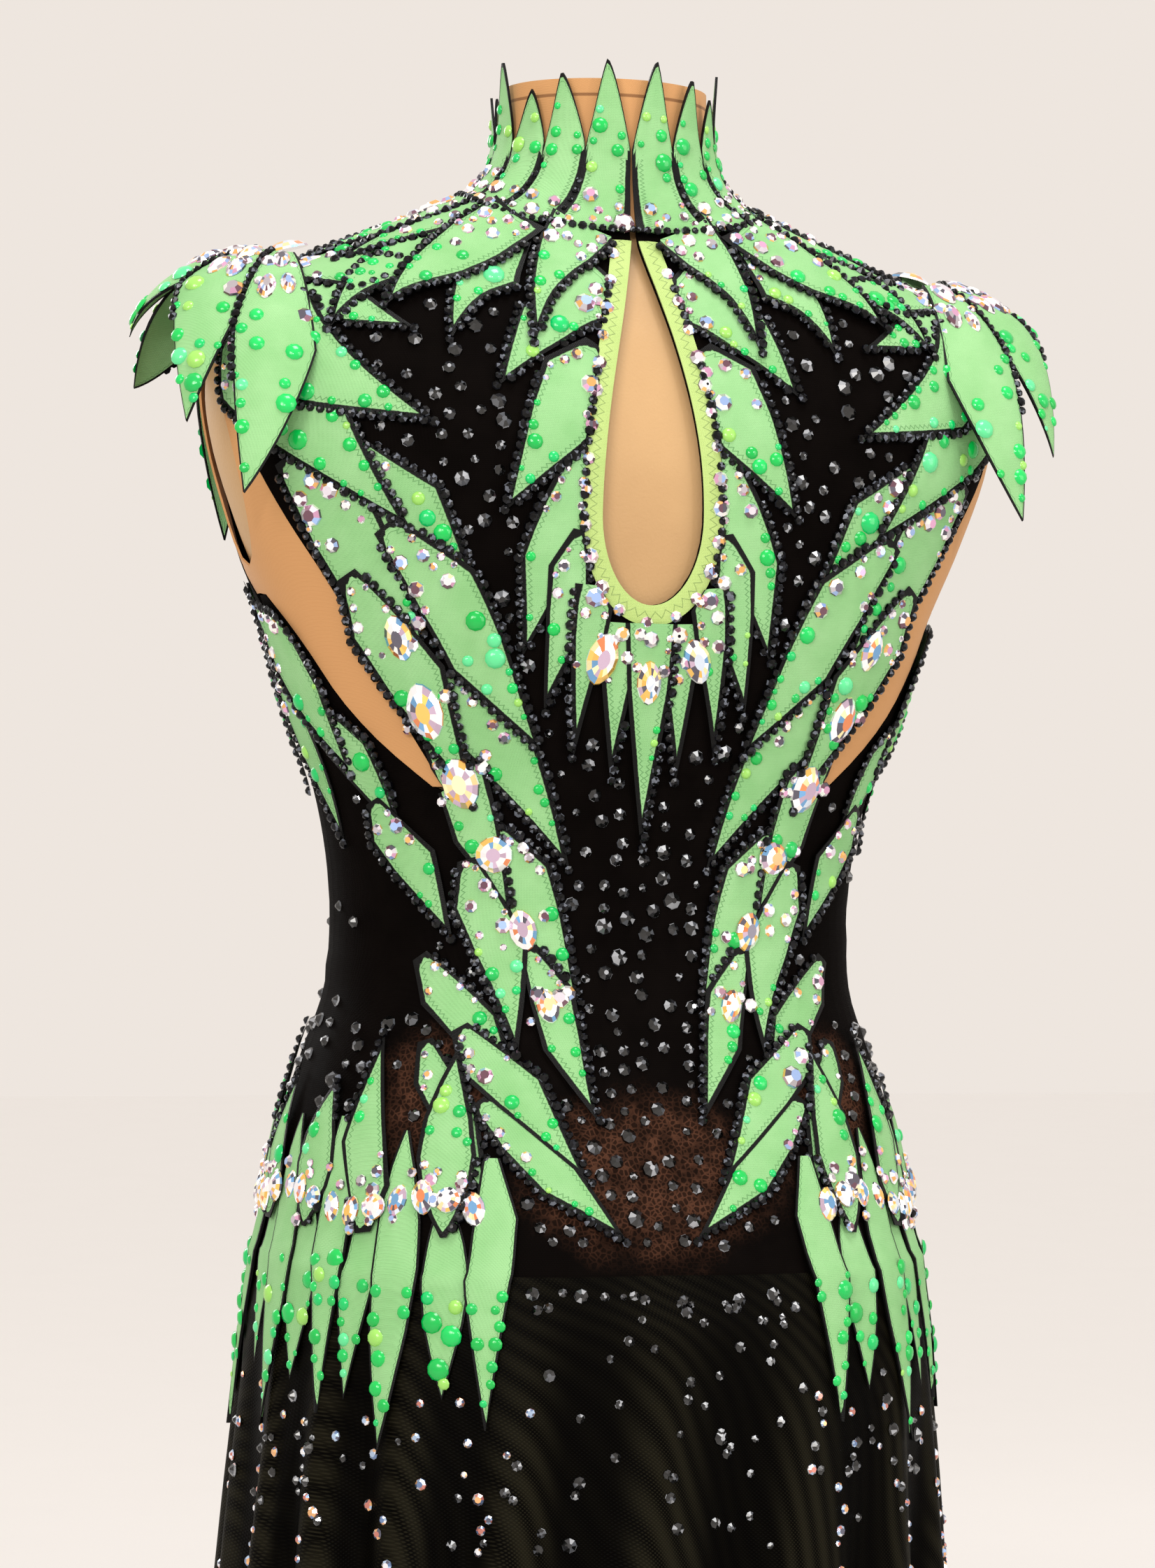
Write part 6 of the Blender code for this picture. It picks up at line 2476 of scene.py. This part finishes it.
@dataclass
class DressForm:
    """The form, its brief and its stand."""

    bottom: float = 0.770
    neck_end: float = 1.484
    inset: float = 0.0016
    base_top: float = 0.009
    base_profile: tuple[Pair, ...] = (
        (0.164, 0.009), (0.1665, 0.0088), (0.1694, 0.0082), (0.1714, 0.0070), (0.1727, 0.0052), (0.173, 0.0035),
        (0.173, 0.0006), (0.1724, 0.0),
    )
    tube_top: tuple[Pair, ...] = (
        (0.0444, 0.0), (0.045, 0.0006), (0.045, 0.0054), (0.0444, 0.006), (0.019, 0.0075), (0.017, 0.009),
        (0.016, 0.045), (0.0125, 0.047),
    )
    tube_foot: tuple[Pair, ...] = (
        (0.0125, 0.050), (0.0185, 0.0485), (0.0194, 0.046), (0.022, 0.004), (0.0256, 0.0004), (0.026, 0.0),
    )

    def build_form(self) -> None:
        """Makes the torso as one smooth closed shape."""
        turns = np.arange(0, 360, 3.0)
        stations = np.concatenate([np.linspace(self.bottom, 1.25, 62), np.linspace(1.256, self.neck_end, 44)])
        rows = [FIGURE.over(turns, station, -self.inset) for station in stations]
        for row, height in ((rows[0], self.bottom), (rows[-1], rows[-1][:, 2].mean())):
            row[:, 2] = height
        low, high = rows[0].mean(0), rows[-1].mean(0)
        foot = [low + (rows[0] - low) * share for share in (0.02, 0.9)]
        neck = [high + (rows[-1] - high) * share for share in (0.9, 0.02)]
        torso = Shell.grid([*foot, *rows, *neck], closed=True, ends=1)
        torso.piece("form_shell", Finishes.form, "form_torso")

    def build_brief(self) -> None:
        """Makes the black brief under the skirt."""
        turns = np.arange(0, 360, 3.0)
        low = 0.776 + 0.044 * np.abs(np.sin(np.radians(turns))) ** 3
        rows = [FIGURE.over(turns, low + (HIP_SEAM - 0.0028 - low) * r / 15, FIT) for r in range(16)]
        brief = Shell.grid(rows, closed=True).walled(0.0010)
        brief.fitted("brief_cloth", Finishes.brief, "brief", (0.86, 0.105))

    def turned(self, name: str, profile: Sequence[Pair], node: str, steps: int) -> None:
        """Turns a profile about the upright axis.

        Args:
            name: The piece's name.
            profile: The profile as (radius, height), from its top to its foot.
            node: The CAD node that it stands for.
            steps: How many sides it has.
        """
        angles = np.linspace(0, 2 * math.pi, steps, endpoint=False)
        rings = [np.stack([np.cos(angles) * r, np.sin(angles) * r, np.full(steps, z)], axis=1) for r, z in profile]
        steel = Shell.grid(rings, closed=True, ends=1).flipped()
        steel.piece(name, Finishes.steel, node, sharp=35.0)

    def build(self) -> None:
        """Makes all of it."""
        self.build_form()
        self.build_brief()
        top, low = self.bottom - 0.0004, self.base_top + 0.0004
        tube = [*((r, top - z) for r, z in self.tube_top), *((r, low + z) for r, z in self.tube_foot)]
        self.turned("stand_tube", tube, "stand_pole", 72)
        self.turned("base_plate", self.base_profile, "stand_base", 120)


@dataclass
class Studio:
    """The plain pale room, its soft lights and the camera at the photograph's angle."""

    azimuth: float = -15.5
    distance: float = 1.9
    aim: float = 1.094
    seen_height: float = 0.731
    sensor: float = 36.0
    roll: float = 1.0
    shift: float = -21 / 2242
    floor: float = -0.001
    lamps: tuple[tuple, ...] = (
        ("window", (-2.2, -2.6, 2.3), 1.3, 62.0, (1.0, 0.97, 0.93)),
        ("fill", (2.4, -2.0, 1.6), 1.8, 26.0, (1.0, 0.96, 0.92)),
        ("top", (0.2, -0.6, 3.2), 0.9, 30.0, (1.0, 1.0, 1.0)),
        ("rim", (-1.2, 2.6, 2.2), 1.2, 30.0, (1.0, 1.0, 1.0)),
        ("spark_left", (-0.9, -2.4, 1.9), 0.12, 9.0, (1.0, 1.0, 1.0)),
        ("spark_right", (1.3, -2.2, 2.2), 0.12, 9.0, (1.0, 1.0, 1.0)),
    )

    def build_room(self) -> None:
        """Makes the floor, painted darker near the stand as a painted shadow, and the world's light."""
        paint = Painter("studio_plaster")
        # painted shadow: the floor is a darker grey round the stand and fades to pale plaster between 1.6 and 4.5 m
        # away
        far = paint.step(paint.vector("LENGTH", paint.place)[1], 1.6, 4.5)
        plaster = paint.mix(paint.grain(6.0, 6.0), (0.99, 0.985, 0.98), (0.97, 0.965, 0.96))
        material = paint.dressed({
            "Base Color": paint.mix(far, (0.60, 0.585, 0.57), plaster),
            "Roughness": 0.9,
            "Normal": paint.bump(paint.grain(260.0, 3.0), 0.0004),
        })
        corners = np.array([(x, y, self.floor) for x, y in ((-12, -12), (12, -12), (12, 12), (-12, 12))])
        Shell(corners, [(0, 1, 2, 3)]).item("studio_floor", material)
        world = bpy.data.worlds.new("studio_light")
        bpy.context.scene.world = world
        world.use_nodes = True
        shade = world.node_tree.nodes["Background"]
        shade.inputs["Color"].default_value = (0.93, 0.86, 0.80, 1.0)
        shade.inputs["Strength"].default_value = 0.92

    def build_lights(self) -> None:
        """Hangs the area lights, which shine at the dress."""
        for name, place, size, power, colour in self.lamps:
            lamp = bpy.data.lights.new(name, "AREA")
            lamp.size, lamp.energy, lamp.color = size, power, colour
            item = linked(name, lamp)
            item.location = place
            item.rotation_euler = (Vector((0, 0, 1.1)) - Vector(place)).to_track_quat("-Z", "Y").to_euler()

    def build_camera(self) -> None:
        """Places the camera."""
        bpy.context.scene.view_settings.view_transform = "Standard"
        camera = bpy.data.cameras.new("view")
        camera.sensor_width = self.sensor
        camera.lens = self.sensor * self.distance / self.seen_height
        camera.shift_x = self.shift
        camera.clip_end = 50.0
        item = linked("view", camera)
        angle = math.radians(self.azimuth)
        back = Vector((math.sin(angle), -math.cos(angle), 0.0))
        place = Matrix.Translation(Vector((0.0, 0.0, self.aim)) + back * self.distance)
        facing = (-back).to_track_quat("-Z", "Y").to_matrix().to_4x4()
        item.matrix_world = place @ facing @ Matrix.Rotation(math.radians(self.roll), 4, "Z")
        bpy.context.scene.camera = item

    def build(self) -> None:
        """Makes the whole room."""
        self.build_camera()
        self.build_room()
        self.build_lights()


def main() -> None:
    """Builds the studio, the form and the dress, in that order."""
    logging.basicConfig(level=logging.INFO, format="%(message)s")
    Studio().build()
    DressForm().build()
    BODICE.build()
    KEYHOLE.build()
    Collar().build()
    sewn, hip = SewnLeaves(), HipLeaves()
    sewn.build(hip.all)
    SKIRT.build()
    hip.build([(leaf, cut.layer) for cut, leaf in sewn.made])
    ShoulderCaps().build()
    LargeStones().build()
    LooseJets().build(sewn.surface)
    JEWELS.build()


if __name__ == "__main__":
    main()
